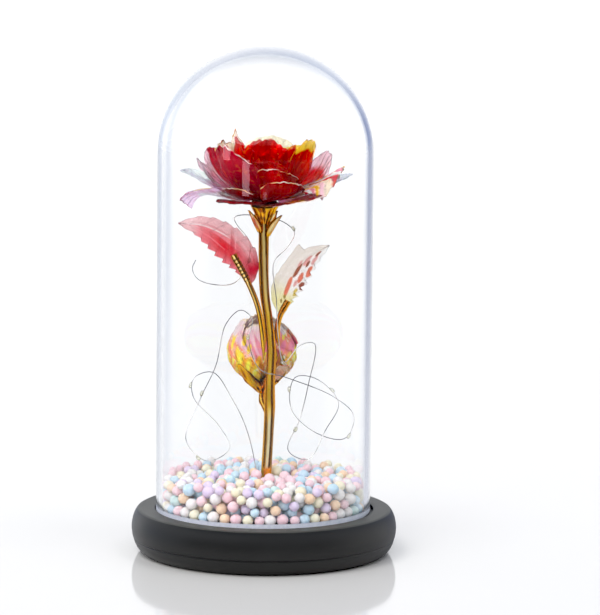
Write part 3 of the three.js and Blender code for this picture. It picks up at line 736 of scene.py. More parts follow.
def tint_bud(grid, t):
    """The bud's colours by place: pink above, slanted peach streaks, gold and brown below. The lower part and
    the right side are brightened as painted light, and the edges carry a painted highlight.
    """
    side, high = grid[..., 0] / 15, grid[..., 2] / 28
    right = smoothstep(side, -0.02, 0.06)
    streak = ripples(71, 4.4 * (side + high), 0.8 * (side - high), 7, 5.0) * (1 - right)
    streak = streak + ripples(72, 4.4 * (side - high), 0.8 * (side + high), 7, 5.0) * right
    fleck = ripples(73, 4.6 * side, 2.6 * high, 6, 5.0)
    soft = smoothstep(streak, -0.35, 0.35)
    violet = painted(MAGENTA, (SALMON, soft), (PALE_PEACH, smoothstep(streak - high, 0.1, 0.3)))
    amber = painted(GOLD, (ORANGE, smoothstep(fleck, -0.2, 0.2)), (YELLOW, fading(fleck, -0.85, -0.7)),
                    (BROWN, 0.75 * bell((fleck - 0.25, 0.035))))
    line = bell((streak + 0.5, 0.05)) * fading(high, 0.5, 0.7)
    tone = painted(
        PEACH, (SALMON, soft),
        (mixed(ROSE_PINK, PALE_PINK, soft), smoothstep(high + 0.5 * side, 0.28, 0.36)),
        (violet, right), (YELLOW, smoothstep(fleck + 0.55 * right, 0.85, 0.9)),
        (amber, fading(high + 0.12 * fleck, 0.48, 0.54) * (1 - 0.3 * right)),
        (BROWN, 0.8 * line), (CREAM, bell((streak - 0.4, 0.07))),
        (BUD_TIP, smoothstep(high + 0.05 * fleck, 0.82, 0.88)))
    # Painted light: the lower part and the right side are painted brighter, to lift the shade that falls
    # there.
    low = fading(high, 0.45, 0.6)
    tone = tone * (1 + 0.3 * np.maximum(low, 0.6 * right))[..., None]
    # Painted highlight: a cream line along each petal's edge.
    edge = smoothstep(t, 0.98, 0.988)
    tone = mixed(tone, CREAM, edge)
    return np.dstack([np.clip(tone, 0, 1), 1 - 0.7 * edge])


def place_flower(grid, middle, nod):
    """Turns a flower's points about X by nod degrees and moves them to its middle."""
    turn = np.array(Matrix.Rotation(math.radians(nod), 3, "X"))
    return grid @ turn.T + np.array(middle)


# Colours of the films

RED = (0.69, 0.002, 0.006)
BRIGHT_RED = (0.84, 0.006, 0.004)
CRIMSON = (0.62, 0.002, 0.028)
DEEP_RED = (0.36, 0.0, 0.004)
# Painted highlight: the cream and gold of the petals' rim lines.
RIM = (1.0, 0.9, 0.8)
RIM_GOLD = (1.0, 0.66, 0.28)
ROSE_PINK = (0.86, 0.3, 0.42)
PALE_PINK = (0.93, 0.6, 0.68)
LILAC = (1.0, 0.7, 0.93)
CREAM = (0.96, 0.82, 0.62)
YELLOW = (1.0, 0.74, 0.06)
GOLD = (0.85, 0.5, 0.03)
ORANGE = (0.93, 0.3, 0.02)
PEACH = (0.96, 0.55, 0.34)
PALE_PEACH = (0.97, 0.74, 0.62)
SALMON = (0.86, 0.25, 0.14)
MAGENTA = (0.84, 0.24, 0.36)
BROWN = (0.3, 0.05, 0.01)
CLEAR = (0.9, 0.93, 0.92)
BUD_TIP = (0.97, 0.8, 0.8)

# The right leaf's blotches: share along, place across, half length, half width and colour

LEAF_SALMON = (0.85, 0.22, 0.13)
LEAF_BROWN = (0.42, 0.1, 0.05)
LEAF_ROSE = (0.88, 0.45, 0.42)
LEAF_OLIVE = (0.5, 0.34, 0.06)
LEAF_BLOTCHES = (
    (0.32, 0.12, 0.12, 0.17, LEAF_SALMON), (0.54, 0.02, 0.1, 0.15, LEAF_BROWN),
    (0.7, 0.05, 0.08, 0.16, LEAF_ROSE), (0.5, 0.5, 0.07, 0.16, LEAF_SALMON),
    (0.42, 0.86, 0.06, 0.16, LEAF_BROWN), (0.62, 0.75, 0.08, 0.18, LEAF_SALMON),
    (0.76, 0.5, 0.07, 0.2, LEAF_ROSE), (0.3, 0.75, 0.06, 0.12, (0.8, 0.6, 0.1)),
    (0.84, 0.25, 0.05, 0.14, LEAF_BROWN), (0.68, 0.3, 0.045, 0.1, LEAF_BROWN),
    (0.4, 0.42, 0.045, 0.1, LEAF_ROSE), (0.61, -0.16, 0.05, 0.08, LEAF_ROSE),
    (0.14, -0.05, 0.03, 0.12, LEAF_OLIVE), (0.2, 0.2, 0.025, 0.1, LEAF_OLIVE),
    (0.09, 0.2, 0.02, 0.1, LEAF_OLIVE),
)

# Colours of the plating, and its stripes round a rod. The stripes are painted reflections: the palest colour
# is a painted highlight, the darkest is painted dark reflection and shade, and the orange is a painted
# reflection at the stem's foot.

PLATE_GOLD = (0.74, 0.4, 0.035)
PLATE_DARK = (0.11, 0.034, 0.002)
PLATE_TAN = (0.5, 0.27, 0.07)
PLATE_HIGHLIGHT = (1.0, 0.88, 0.52)
# Painted light and shade on the cups: bright on the ridges, deep in the grooves.
CUP_DEEP = (0.42, 0.1, 0.006)
CUP_BRIGHT = (0.95, 0.5, 0.02)
PLATE_ORANGE_REFLECTION = (1.0, 0.42, 0.02)
GILDING = (1.6, 1.3, 0.25)
DEEPEST_GOLD = (1.0, 0.6, 0.03)
PLATE_REFLECTION_STRIPES = (
    (0.0, PLATE_GOLD), (0.1, PLATE_GOLD), (0.14, PLATE_DARK), (0.25, PLATE_DARK),
    (0.3, PLATE_TAN), (0.34, PLATE_GOLD), (0.37, PLATE_HIGHLIGHT), (0.51, PLATE_HIGHLIGHT),
    (0.54, PLATE_DARK), (0.66, PLATE_DARK), (0.71, PLATE_TAN), (0.82, PLATE_TAN),
    (0.86, PLATE_DARK), (0.9, PLATE_GOLD), (1.0, PLATE_GOLD),
)

# Looks of single petals: film, colour, colour of the end or of one side, spots, pleats and rim

PETAL_LOOKS = {
    "petal_outer_1": dict(film="pearl", tone=ROSE_PINK, tip=CLEAR, tip_from=0.78, spots=(CLEAR, CLEAR),
                          twist=-2.0),
    "petal_outer_2": dict(film="pearl", tone=PALE_PINK, tip=LILAC, tip_from=0.7),
    "petal_outer_3": dict(film="pearl", tone=CLEAR, tip=CREAM, tip_from=0.7),
    "petal_outer_4": dict(film="pearl", tone=ROSE_PINK, tip=CLEAR, tip_from=0.6, twist=4.5),
    "petal_outer_5": dict(film="pearl", tone=CLEAR, tip=LILAC, tip_from=0.68, tip_blend=0.08, twist=6.0,
                          rim=ROSE_PINK),
    "petal_outer_6": dict(film="pink", tone=CRIMSON, tip=DEEP_RED),
    "petal_outer_7": dict(film="pink", tone=CRIMSON, tip=DEEP_RED, rim=RIM,
                          blotches=((0.86, -0.42, 0.12, 0.2, ORANGE), (0.9, -0.2, 0.07, 0.12, GOLD))),
    "petal_second_1": dict(film="pink", tone=RED, tip=PALE_PINK, tip_from=0.7, tip_lean=1),
    "petal_second_2": dict(film="pearl", tone=YELLOW, tip=YELLOW),
    "petal_second_3": dict(film="pearl", tone=PALE_PEACH, tip=PALE_PEACH, rim=ORANGE),
    "petal_second_4": dict(film="pink", tone=CRIMSON, side=(0.2, PALE_PINK)),
    "petal_second_5": dict(film="pink", tone=ROSE_PINK, side=(-0.15, PALE_PINK), tip=PALE_PINK,
                           tip_from=0.75, tip_lean=-1),
    "petal_second_6": dict(film="pink", tone=RED, tip=SALMON, tip_from=0.8, rim=RIM),
    "petal_second_7": dict(film="red", tone=RED, rim=RIM, blotches=((0.42, 0.25, 0.09, 0.35, ORANGE),)),
    "petal_second_8": dict(film="bud", tone=ROSE_PINK, pleats=(9, 1.1, 0.9), tip=CREAM, tip_from=0.95,
                           layers=(CREAM, CRIMSON, CLEAR, ROSE_PINK, GOLD, PALE_PINK)),
    "petal_third_1": dict(film="red", tone=(0.8, 0.014, 0.006), tip=YELLOW, tip_from=0.86, tip_lean=1.4,
                          tip_blend=0.03, rim=(0.4, 0.2, 0.02)),
    "petal_third_2": dict(film="pink", tone=BRIGHT_RED, tip=(0.98, 0.92, 0.68), tip_from=0.88,
                          tip_blend=0.03),
    "petal_third_3": dict(film="bud", tone=SALMON, tip=(1.0, 0.9, 0.6), tip_from=0.82, rim=BROWN,
                          blotches=((0.93, 0.5, 0.05, 0.15, YELLOW), (0.93, -0.3, 0.04, 0.1, BROWN))),
    "petal_third_4": dict(film="red", tone=CRIMSON, rim=RIM),
    "petal_third_5": dict(film="red", tone=RED, rim=RIM),
    "petal_fourth_1": dict(tone=RED, tip=ORANGE, tip_from=0.94, tip_blend=0.03),
    "petal_fourth_2": dict(tone=BRIGHT_RED),
    "petal_fourth_3": dict(tone=BRIGHT_RED), "petal_fourth_4": dict(tone=BRIGHT_RED),
    "petal_heart_1": dict(tone=BRIGHT_RED), "petal_heart_2": dict(tone=RED),
    "petal_heart_3": dict(tone=BRIGHT_RED),
    "bud_petal_outer_1": dict(pleats=(5, 0.9, 0.7)), "bud_petal_outer_3": dict(pleats=(5, -0.8, 0.7)),
    "bud_petal_outer_4": dict(pleats=(6, 0.8, 0.6), seed=8),
    "bud_petal_outer_5": dict(film="bud", tone=(1.0, 0.42, 0.2), tip=(1.0, 0.66, 0.42),
                              tip_from=0.7, tip_blend=0.3, rim=SALMON),
    "bud_petal_inner_2": dict(film="bud", tone=(1.0, 0.9, 0.88), tip=CREAM, tip_from=0.85),
}
FILM_SLOTS = {"red": "red_film", "pink": "pink_film", "pearl": "pearl_film", "bud": "pink_film"}


def add_flower(whorls, middle, nod, seed):
    """Adds the petals of a flower, each as a sheet of film of its own."""
    settings = bpy.context.scene.rose_film
    films = {
        "red": film("film_red", 0.4, 0.09, 0.35, painted_glints=0.9),
        "pink": film("film_pink", 0.88, 0.08, 0.2, painted_glints=0.3),
        "pearl": film("film_pearl", 0.92, 0.05, 0.06, thin=420.0),
        "bud": film("film_bud", 0.1, 0.09, 0.15, painted_glints=0.5),
    }
    for whorl in whorls:
        for k, petal in enumerate(whorl["petals"]):
            seed += 20
            name = f"{whorl['name']}_{k + 1}"
            look = PETAL_LOOKS.get(name, {})
            kind = look.get("film", whorl["film"])
            grid, u, t = petal_grid(whorl, petal, look, seed)
            crease = settings.crinkle / MM * smoothstep(t, 0.15, 0.6)
            lift = crease * (0.6 * ripples(seed + 2, u * 3, t * 4, 6, 4.0)
                             + 0.4 * ripples(seed + 3, u * 9, t * 2, 5, 4.0))
            plain_bud = kind == "bud" and "tone" not in look
            tint = tint_bud(grid, t) if plain_bud else tint_petal(look, u, t, seed)
            grid = place_flower(grid, middle, nod)
            made = sheet_object(f"{name}_film", grid, settings.thickness / MM, tint, lift)
            dress(made, films[kind], FILM_SLOTS[kind], name)


# The studio: the camera in metres and degrees, and half the floor's width in millimetres

CAMERA_AIM = (0.01476, 0, 0.1068)
CAMERA_DISTANCE = 1.3
CAMERA_PITCH = 7.229
CAMERA_ROLL = 0.562
CAMERA_LENS = 176.5
SENSOR_WIDTH = 36
BLACK_LEVEL = 0.022
FLOOR_HALF = 40000.0
FLOOR_TONES = ((0.91, 0.89, 0.85), (0.92, 0.9, 0.86))
WHITE_WALL = (1, 1, 1)
DIM_WALL = (0.09, 0.09, 0.095)
CEILING = (0.16, 0.18, 0.23)
STRIPE_COLOUR = (1.0, 0.6, 0.7)
DOME_LIT = "dome_only"


# Operators


class ROSE_OT_stage(bpy.types.Operator):
    """Adds the floor, the room's light and the camera"""
    bl_idname = "rose.stage"
    bl_label = "Studio"

    def execute(self, context):
        scene = context.scene
        view = scene.view_settings
        view.view_transform = "Standard"
        view.use_curve_mapping = True
        view.curve_mapping.black_level = [BLACK_LEVEL] * 3
        view.curve_mapping.update()
        self.add_camera(scene)
        self.add_floor()
        self.add_room(scene)
        self.add_lights(scene)
        return {"FINISHED"}

    def add_camera(self, scene):
        """A long lens that looks slightly down, tilted a little to the side."""
        pitch, roll = math.radians(CAMERA_PITCH), math.radians(CAMERA_ROLL)
        ahead = Vector((0, math.cos(pitch), -math.sin(pitch)))
        right = Vector((1, 0, 0))
        up = right.cross(ahead)
        tilted = right * math.cos(roll) + up * math.sin(roll)
        upright = tilted.cross(ahead)
        data = bpy.data.cameras.new("camera")
        data.lens, data.sensor_width = CAMERA_LENS, SENSOR_WIDTH
        data.clip_start, data.clip_end = 0.05, 50
        camera = bpy.data.objects.new("camera", data)
        turn = Matrix((tilted, upright, -ahead)).transposed().to_4x4()
        camera.matrix_world = Matrix.Translation(Vector(CAMERA_AIM) - ahead * CAMERA_DISTANCE) @ turn
        scene.collection.objects.link(camera)
        scene.camera = camera

    def add_floor(self):
        """A wide pale floor with a soft mirror image."""
        size = FLOOR_HALF
        points = [(-size, -size, 0), (size, -size, 0), (size, size, 0), (-size, size, 0)]
        floor = build_object("floor", points, [(0, 1, 2, 3)])
        made = Finish("white_floor", IOR=1.45, Roughness=0.08)
        haze = made.ramp(made.noise(made.place(), 3.0, 2.0), 0.3, 0.7)
        floor.data.materials.append(made.drive(Base_Color=made.mix(haze, *FLOOR_TONES)))

    def add_room(self, scene):
        """A room that is white behind the rose, with darker walls that edge the glass.

        The walls are given as bearings in degrees, with 0 straight behind the rose.
        """
        settings = scene.rose_studio
        world = bpy.data.worlds.new("room")
        world.use_nodes = True
        scene.world = world
        room = Wiring(world.node_tree)
        way = room.place("Generated")
        part = [room.node("ShaderNodeSeparateXYZ", Vector=way, out=k) for k in range(3)]
        bearing = room.math("DIVIDE", room.math("ARCTAN2", part[0], part[1]), 2 * math.pi)
        bearing = room.math("ADD", bearing, 0.5)
        side, dark = tuple(settings.side), tuple(settings.corner)
        walls = (
            (-180, DIM_WALL), (-120, DIM_WALL), (-95, side), (-53, side), (-46, WHITE_WALL),
            (-35, WHITE_WALL), (-29, side), (-14, side), (-9, WHITE_WALL), (12, WHITE_WALL),
            (21, dark), (38, dark), (46, WHITE_WALL), (95, WHITE_WALL), (125, DIM_WALL), (180, DIM_WALL))
        upper_walls = (
            (-180, (0.46, 0.47, 0.5)), (-100, (0.74, 0.76, 0.8)), (-10, (0.56, 0.59, 0.66)),
            (20, (0.46, 0.5, 0.6)), (60, (0.42, 0.46, 0.57)), (100, (0.69, 0.71, 0.76)),
            (180, (0.46, 0.47, 0.5)))
        lower, upper = (
            room.colours(bearing, [(0.5 + angle / 360, tone) for angle, tone in stops])
            for stops in (walls, upper_walls))
        tone = room.mix(room.ramp(part[2], 0.12, 0.4), lower, upper)
        tone = room.mix(room.ramp(part[2], 0.6, 0.8), tone, CEILING)
        background = world.node_tree.nodes["Background"]
        world.node_tree.links.new(tone, background.inputs[0])
        background.inputs[1].default_value = settings.brightness

    def add_lights(self, scene):
        """Soft lamps overhead and from the front, and small lamps that only stripe the dome."""
        dome_only = bpy.data.collections.new(DOME_LIT)
        for name, place, size, radiance in (
            ("key", (-0.42, -0.4, 1.2), (0.5, 0.4), 5.5),
            ("fill", (0.5, -0.3, 1.2), (0.4, 0.4), 4.0),
            ("stripe_far", (-0.2507, -0.3117, 0.201), (0.056, 0.1), 5.5),
            ("stripe_near", (-0.1295, -0.378, 0.1425), (0.05, 0.021), 5.5),
            ("stripe_middle", (0.0, -0.4, 0.1324), (0.023, 0.0045), 2.5),
        ):
            aim = Vector((0, 0, min(place[2], 0.12))) - Vector(place)
            light = self.add_lamp(scene, name, "AREA", radiance * math.pi * size[0] * size[1], aim)
            light.location = place
            light.data.shape = "RECTANGLE"
            light.data.size, light.data.size_y = size
            light.visible_camera = light.visible_transmission = False
            light.visible_glossy = name.startswith("stripe")
            if light.visible_glossy:
                light.data.color = STRIPE_COLOUR
                light.light_linking.receiver_collection = dome_only
        light = self.add_lamp(scene, "wide", "SUN", 1.3, Vector((0.35, 0.9, -0.75)))
        light.data.angle = math.radians(50)
        light.visible_glossy = False

    def add_lamp(self, scene, name, kind, energy, aim):
        """A lamp that shines along aim."""
        data = bpy.data.lights.new(name, kind)
        data.energy = energy
        light = bpy.data.objects.new(name, data)
        light.rotation_euler = aim.to_track_quat("-Z", "Y").to_euler()
        scene.collection.objects.link(light)
        return light


WIRE_POINTS = 420


class ROSE_OT_wire(bpy.types.Operator):
    """Adds the light wire and its clear drops"""
    bl_idname = "rose.wire"
    bl_label = "Light wire"

    def execute(self, context):
        settings = context.scene.rose_wire
        line, way = smooth_route(WIRE_ROUTE, WIRE_POINTS)
        data = bpy.data.curves.new("light_wire_line", "CURVE")
        data.dimensions = "3D"
        data.bevel_depth = settings.diameter / 2
        data.bevel_resolution = 2
        data.use_fill_caps = True
        spline = data.splines.new("POLY")
        spline.points.add(len(line) - 1)
        flat = np.hstack([line * MM, np.ones((len(line), 1))])
        spline.points.foreach_set("co", flat.ravel())
        spline.use_smooth = True
        wire = bpy.data.objects.new("light_wire_line", data)
        context.scene.collection.objects.link(wire)
        made = Finish("wire_silver", Metallic=1.0)
        place = made.place()
        patch = made.noise(place, 75.0, 2.0)
        base = made.mix(made.ramp(patch, 0.42, 0.58), (0.95, 0.93, 0.9), (0.22, 0.22, 0.24))
        finish = made.drive(Base_Color=base, Roughness=made.ramp(patch, 0.3, 0.7, 0.25, 0.4))
        dress(wire, finish, "silver_wire", "light_wire")
        drops = self.add_drops(settings, line, way)
        return {"FINISHED"}

    def add_drops(self, settings, line, way):
        """A clear drop on the wire at every light of the frame."""
        resin = Finish("drop_resin", Transmission_Weight=0.8, IOR=1.48)
        cloud = resin.noise(resin.place(), 900.0, 2.0)
        base = resin.mix(resin.ramp(cloud, 0.4, 0.65), (0.93, 0.95, 0.88), (0.8, 0.78, 0.5))
        finish = resin.drive(Base_Color=base, Roughness=resin.ramp(cloud, 0.3, 0.8, 0.03, 0.2))
        pieces = []
        for node in sorted(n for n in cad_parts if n.startswith("led_")):
            low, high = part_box(node)
            middle = np.array((low + high) / 2) / MM
            near = np.argmin(np.linalg.norm(line - middle, axis=1))
            seat = line[near]
            across = middle - seat
            across /= np.linalg.norm(across)
            pieces.append(self.add_drop(node, seat, way[near], across, settings, finish))
        return pieces

    def add_drop(self, node, seat, along, out, settings, finish):
        """A resin drop that wraps the wire, with a bulge to one side for the light chip."""
        rows, sides = 15, 16
        radius = settings.drop_radius / MM
        side = np.cross(along, out)
        points = []
        for j in range(1, rows):
            angle = math.pi * j / rows
            for k in range(sides):
                turn = 2 * math.pi * k / sides
                girth = radius * math.sin(angle) ** 0.8 * (1 + 0.35 * math.cos(turn))
                points.append(seat - along * radius * 1.6 * math.cos(angle) + out * 0.25 * radius
                              + out * girth * math.cos(turn) + side * girth * math.sin(turn))
        rings = np.reshape(points, (rows - 1, sides, 3))
        ends = [seat - along * radius * 1.7, seat + along * radius * 1.7]
        drop = ringed(f"{node}_drop", rings, ends, crease=80)
        return dress(drop, finish, "clear_drop", node)


# Painted light: outside the dome's groove, which ends at this radius, the top is painted a shade paler than
# the side, as light from above makes it look.
GROOVE_OUTSIDE = 47.5


class ROSE_OT_base(bpy.types.Operator):
    """Adds the dark round base and the plate under it"""
    bl_idname = "rose.base"
    bl_label = "Base"

    def execute(self, context):
        settings = context.scene.rose_base
        seam = settings.seam / MM
        outside = [
            (51.0, 0.0), (51.6, 0.05), (53.0, 0.55), (54.4, 1.7), (55.4, 3.0), (56.2, 4.6), (56.75, 6.4),
            (56.85 - seam, 6.75), (56.9 - seam, 7.0), (57.05, 7.3), (57.3, 8.6), (57.45, 10.0),
            (57.5, 11.2), (57.35, 13.0), (57.0, 14.9), (56.4, 16.6), (55.7, 18.0), (55.05, 18.8),
            (54.4, 19.15), (53.9, 19.2), (53.4, 19.2), (48.1, 19.2), (47.7, 19.2), (47.45, 19.1),
            (47.4, 18.9), (47.4, 17.6), (43.2, 17.6), (43.2, 18.95), (43.1, 19.2), (42.5, 19.2),
            (3.8, 19.2), (3.2, 19.2), (2.95, 19.1), (2.9, 18.9), (2.9, 11), (0, 11)]
        inside = [
            (0, 8), (6.5, 8), (6.5, 15.2), (44, 15.2), (44, 1.8), (46.5, 1.8), (46.5, 0.15), (46.6, 0)]
        base = turned("base_shell", inside + outside, 192)
        side = moulded_plastic("base_plastic", tuple(settings.side), settings.roughness)
        # Painted light: the same plastic again, painted paler for the lit top ring.
        top = moulded_plastic("base_lit_top_plastic", tuple(settings.top), settings.roughness + 0.05)
        dress(base, side, "dark_base", "base")
        base.data.materials.append(top)
        for face in base.data.polygons:
            flat_top = face.center.z > (BASE_TOP - 0.25) * MM and face.normal.z > 0.7
            if flat_top and face.center.xy.length > GROOVE_OUTSIDE * MM:
                face.material_index = 1
        ribs = [(0, 0.3)]
        for r in (12, 24, 36):
            ribs += [(r, 0.3), (r + 0.2, 0.55), (r + 0.8, 0.55), (r + 1.0, 0.3)]
        ribs += [(45.7, 0.3), (46.2, 0.7), (46.2, 1.5), (0, 1.5)]
        cover = turned("base_cover_plate", ribs, 128)
        dress(cover, moulded_plastic("cover_plastic", tuple(settings.side), 0.5), "dark_base", "base_cover")
        return {"FINISHED"}


# How much thicker the dome's crown is than its wall, and how far up its foot is ground.
CROWN_EXTRA = 1.3
GROUND_TO = 20.5


class ROSE_OT_dome(bpy.types.Operator):
    """Adds the clear dome"""
    bl_idname = "rose.dome"
    bl_label = "Dome"

    def execute(self, context):
        settings = context.scene.rose_dome
        outer = settings.outer_radius / MM
        inner = outer - settings.wall / MM
        foot, spring = DOME_FOOT, DOME_TOP - outer
        arc = np.linspace(0, math.pi / 2, 49)
        crown = inner - CROWN_EXTRA
        profile = [(0.0, spring + crown)]
        profile += [(inner * math.cos(a), spring + crown * math.sin(a)) for a in arc[::-1][1:]]
        steps = (60.0, 12.0, 4.0, 2.6, 1.4, 1.0)
        profile += [(inner, foot + step) for step in steps]
        profile += [(inner + 0.08, foot + 0.7), (inner + 0.3, foot + 0.25), (inner + 0.7, foot),
                    (outer - 0.7, foot), (outer - 0.3, foot + 0.25), (outer - 0.08, foot + 0.7)]
        profile += [(outer, foot + step) for step in steps[::-1]]
        profile += [(outer * math.cos(a), spring + outer * math.sin(a)) for a in arc[:-1]]
        profile.append((0.0, DOME_TOP))
        dome = turned("glass_dome_shell", profile, 192)
        dome.data.transform(Matrix.Translation((DOME_SHIFT * MM, 0, 0)))
        dome.visible_shadow = False
        if DOME_LIT in bpy.data.collections:
            bpy.data.collections[DOME_LIT].objects.link(dome)
        dress(dome, clear_glass("glass", tuple(settings.tint)), "clear_glass", "glass_dome")
        dome.data.materials.append(ground_glass("glass_foot"))
        for face in dome.data.polygons:
            if face.center.z < GROUND_TO * MM:
                face.material_index = 1
        return {"FINISHED"}


BEAD_TONES = {
    "white": (0.8, 0.79, 0.77), "pink": (0.86, 0.59, 0.64), "blue": (0.5, 0.7, 0.84),
    "peach": (0.89, 0.62, 0.43), "lilac": (0.68, 0.59, 0.79), "lemon": (0.85, 0.8, 0.59),
    "mint": (0.54, 0.77, 0.74),
}
BEAD_SHARES = (0.17, 0.23, 0.19, 0.13, 0.09, 0.14, 0.05)
# The radius that the beads fill, the space kept for the stem, and the places tried for each bead.
BEAD_WALL = 43.9
STEM_SPACE = 2.7
PLACES_TRIED = 26


class ROSE_OT_beads(bpy.types.Operator):
    """Pours the foam beads into the dome"""
    bl_idname = "rose.beads"
    bl_label = "Bead bed"

    def execute(self, context):
        settings = context.scene.rose_beads
        balls = self.poured(settings)
        random = np.random.default_rng(11)
        kinds = random.choice(len(BEAD_TONES), len(balls), p=BEAD_SHARES)
        ball, faces = self.ball()
        for k, (name, tone) in enumerate(BEAD_TONES.items()):
            chosen = balls[kinds == k]
            wobble = 1 + 0.015 * random.standard_normal((len(chosen), 1, 3))
            points = chosen[:, None, :3] + ball[None] * chosen[:, None, 3:4] * wobble
            all_faces = (faces[None] + np.arange(len(chosen))[:, None, None] * len(ball)).reshape(-1, 3)
            made = build_object(f"beads_{name}", points.reshape(-1, 3), all_faces.tolist(), crease=180)
            nodes = () if k else ("bead_bed",)
            dress(made, foam(f"foam_{name}", tone), "pastel_foam", *nodes)
        return {"FINISHED"}

    def ball(self):
        """A round mesh of radius 1 with even faces."""
        bpy.ops.mesh.primitive_ico_sphere_add(subdivisions=3, radius=1)
        made = bpy.context.object
        points = np.array([v.co for v in made.data.vertices])
        faces = np.array([tuple(f.vertices) for f in made.data.polygons])
        bpy.data.objects.remove(made)
        return points, faces

    def poured(self, settings):
        """Beads dropped one by one, each onto the lowest of a few places that it can rest on.

        A first ring lies along the dome's wall.
        """
        random = np.random.default_rng(4)
        balls = np.zeros((0, 4))
        turn = 0.0
        while turn < 2 * math.pi - 0.11:
            r = random.uniform(settings.small, settings.large) / MM
            out = BEAD_WALL - r
            x, y = out * math.cos(turn) + DOME_SHIFT, out * math.sin(turn)
            balls = np.vstack([balls, (x, y, BASE_TOP + r, r)])
            turn += 2 * r / out + 0.006
        for _ in range(settings.count):
            r = random.uniform(settings.small, settings.large) / MM
            best = None
            for _ in range(PLACES_TRIED):
                turn = random.uniform(0, 2 * math.pi)
                out = math.sqrt(random.uniform((STEM_SPACE + r) ** 2, (BEAD_WALL + 3 - r) ** 2))
                out = min(out, BEAD_WALL - r)
                x, y = out * math.cos(turn) + DOME_SHIFT, out * math.sin(turn)
                if math.hypot(x, y) < STEM_SPACE + r:
                    continue
                z = BASE_TOP + r
                flat = (balls[:, 0] - x) ** 2 + (balls[:, 1] - y) ** 2
                reach = (balls[:, 3] + r) ** 2
                near = flat < reach
                if near.any():
                    z = max(z, (balls[near, 2] + np.sqrt(reach[near] - flat[near])).max())
                if best is None or z < best[2]:
                    best = (x, y, z, r)
            if best[2] + best[3] < self.bed_top(best[0], best[1], settings.level / MM) + 1.2:
                balls = np.vstack([balls, best])
        return balls

    def bed_top(self, x, y, level):
        """The bed's height, with low waves and a mound round the stem."""
        waves = 0.8 * math.sin(x / 13 + 1.2) * math.cos(y / 15)
        return level + waves + 2.6 * math.exp(-(x ** 2 + y ** 2) / 150)


# Sepals round the bloom's cup: azimuth, reach, and the heights of the foot and the tip.
CALYX_SEPALS = (
    (327, 8.8, 137.6, 148.0), (40, 7.4, 139.5, 149.0), (118, 7.2, 139.0, 149.5),
    (216, 8.0, 139.2, 150.0),
)
SEPAL_WIDTH = 2.5
SEPAL_THICKNESS = 0.3
# The cups: radius and height of foot and rim, how far the lobes reach out and rise, the height
# that the inside closes at, and the shades between which the plating is painted bright, a painted
# highlight on the ridges. A leaning cup's left lobes are its longer ones.
CUPS = (
    dict(name="calyx", middle=(HEAD_X, 0), foot=(2.0, CALYX_FOOT - 0.6), rim=(4.4, 150.4), reach=2.2,
         rise=0.5, nod=BLOOM_NOD, inside=154.4, bright=(0.25, 0.9), leaning=False),
    dict(name="bud_calyx", middle=(BUD_X, BUD_Y), foot=(1.5, 66.4), rim=(7.5, 71.5), reach=7.5,
         rise=10, nod=0, inside=72.4, bright=(0.0, 0.6), leaning=True),
)
CUP_LOBES = 5


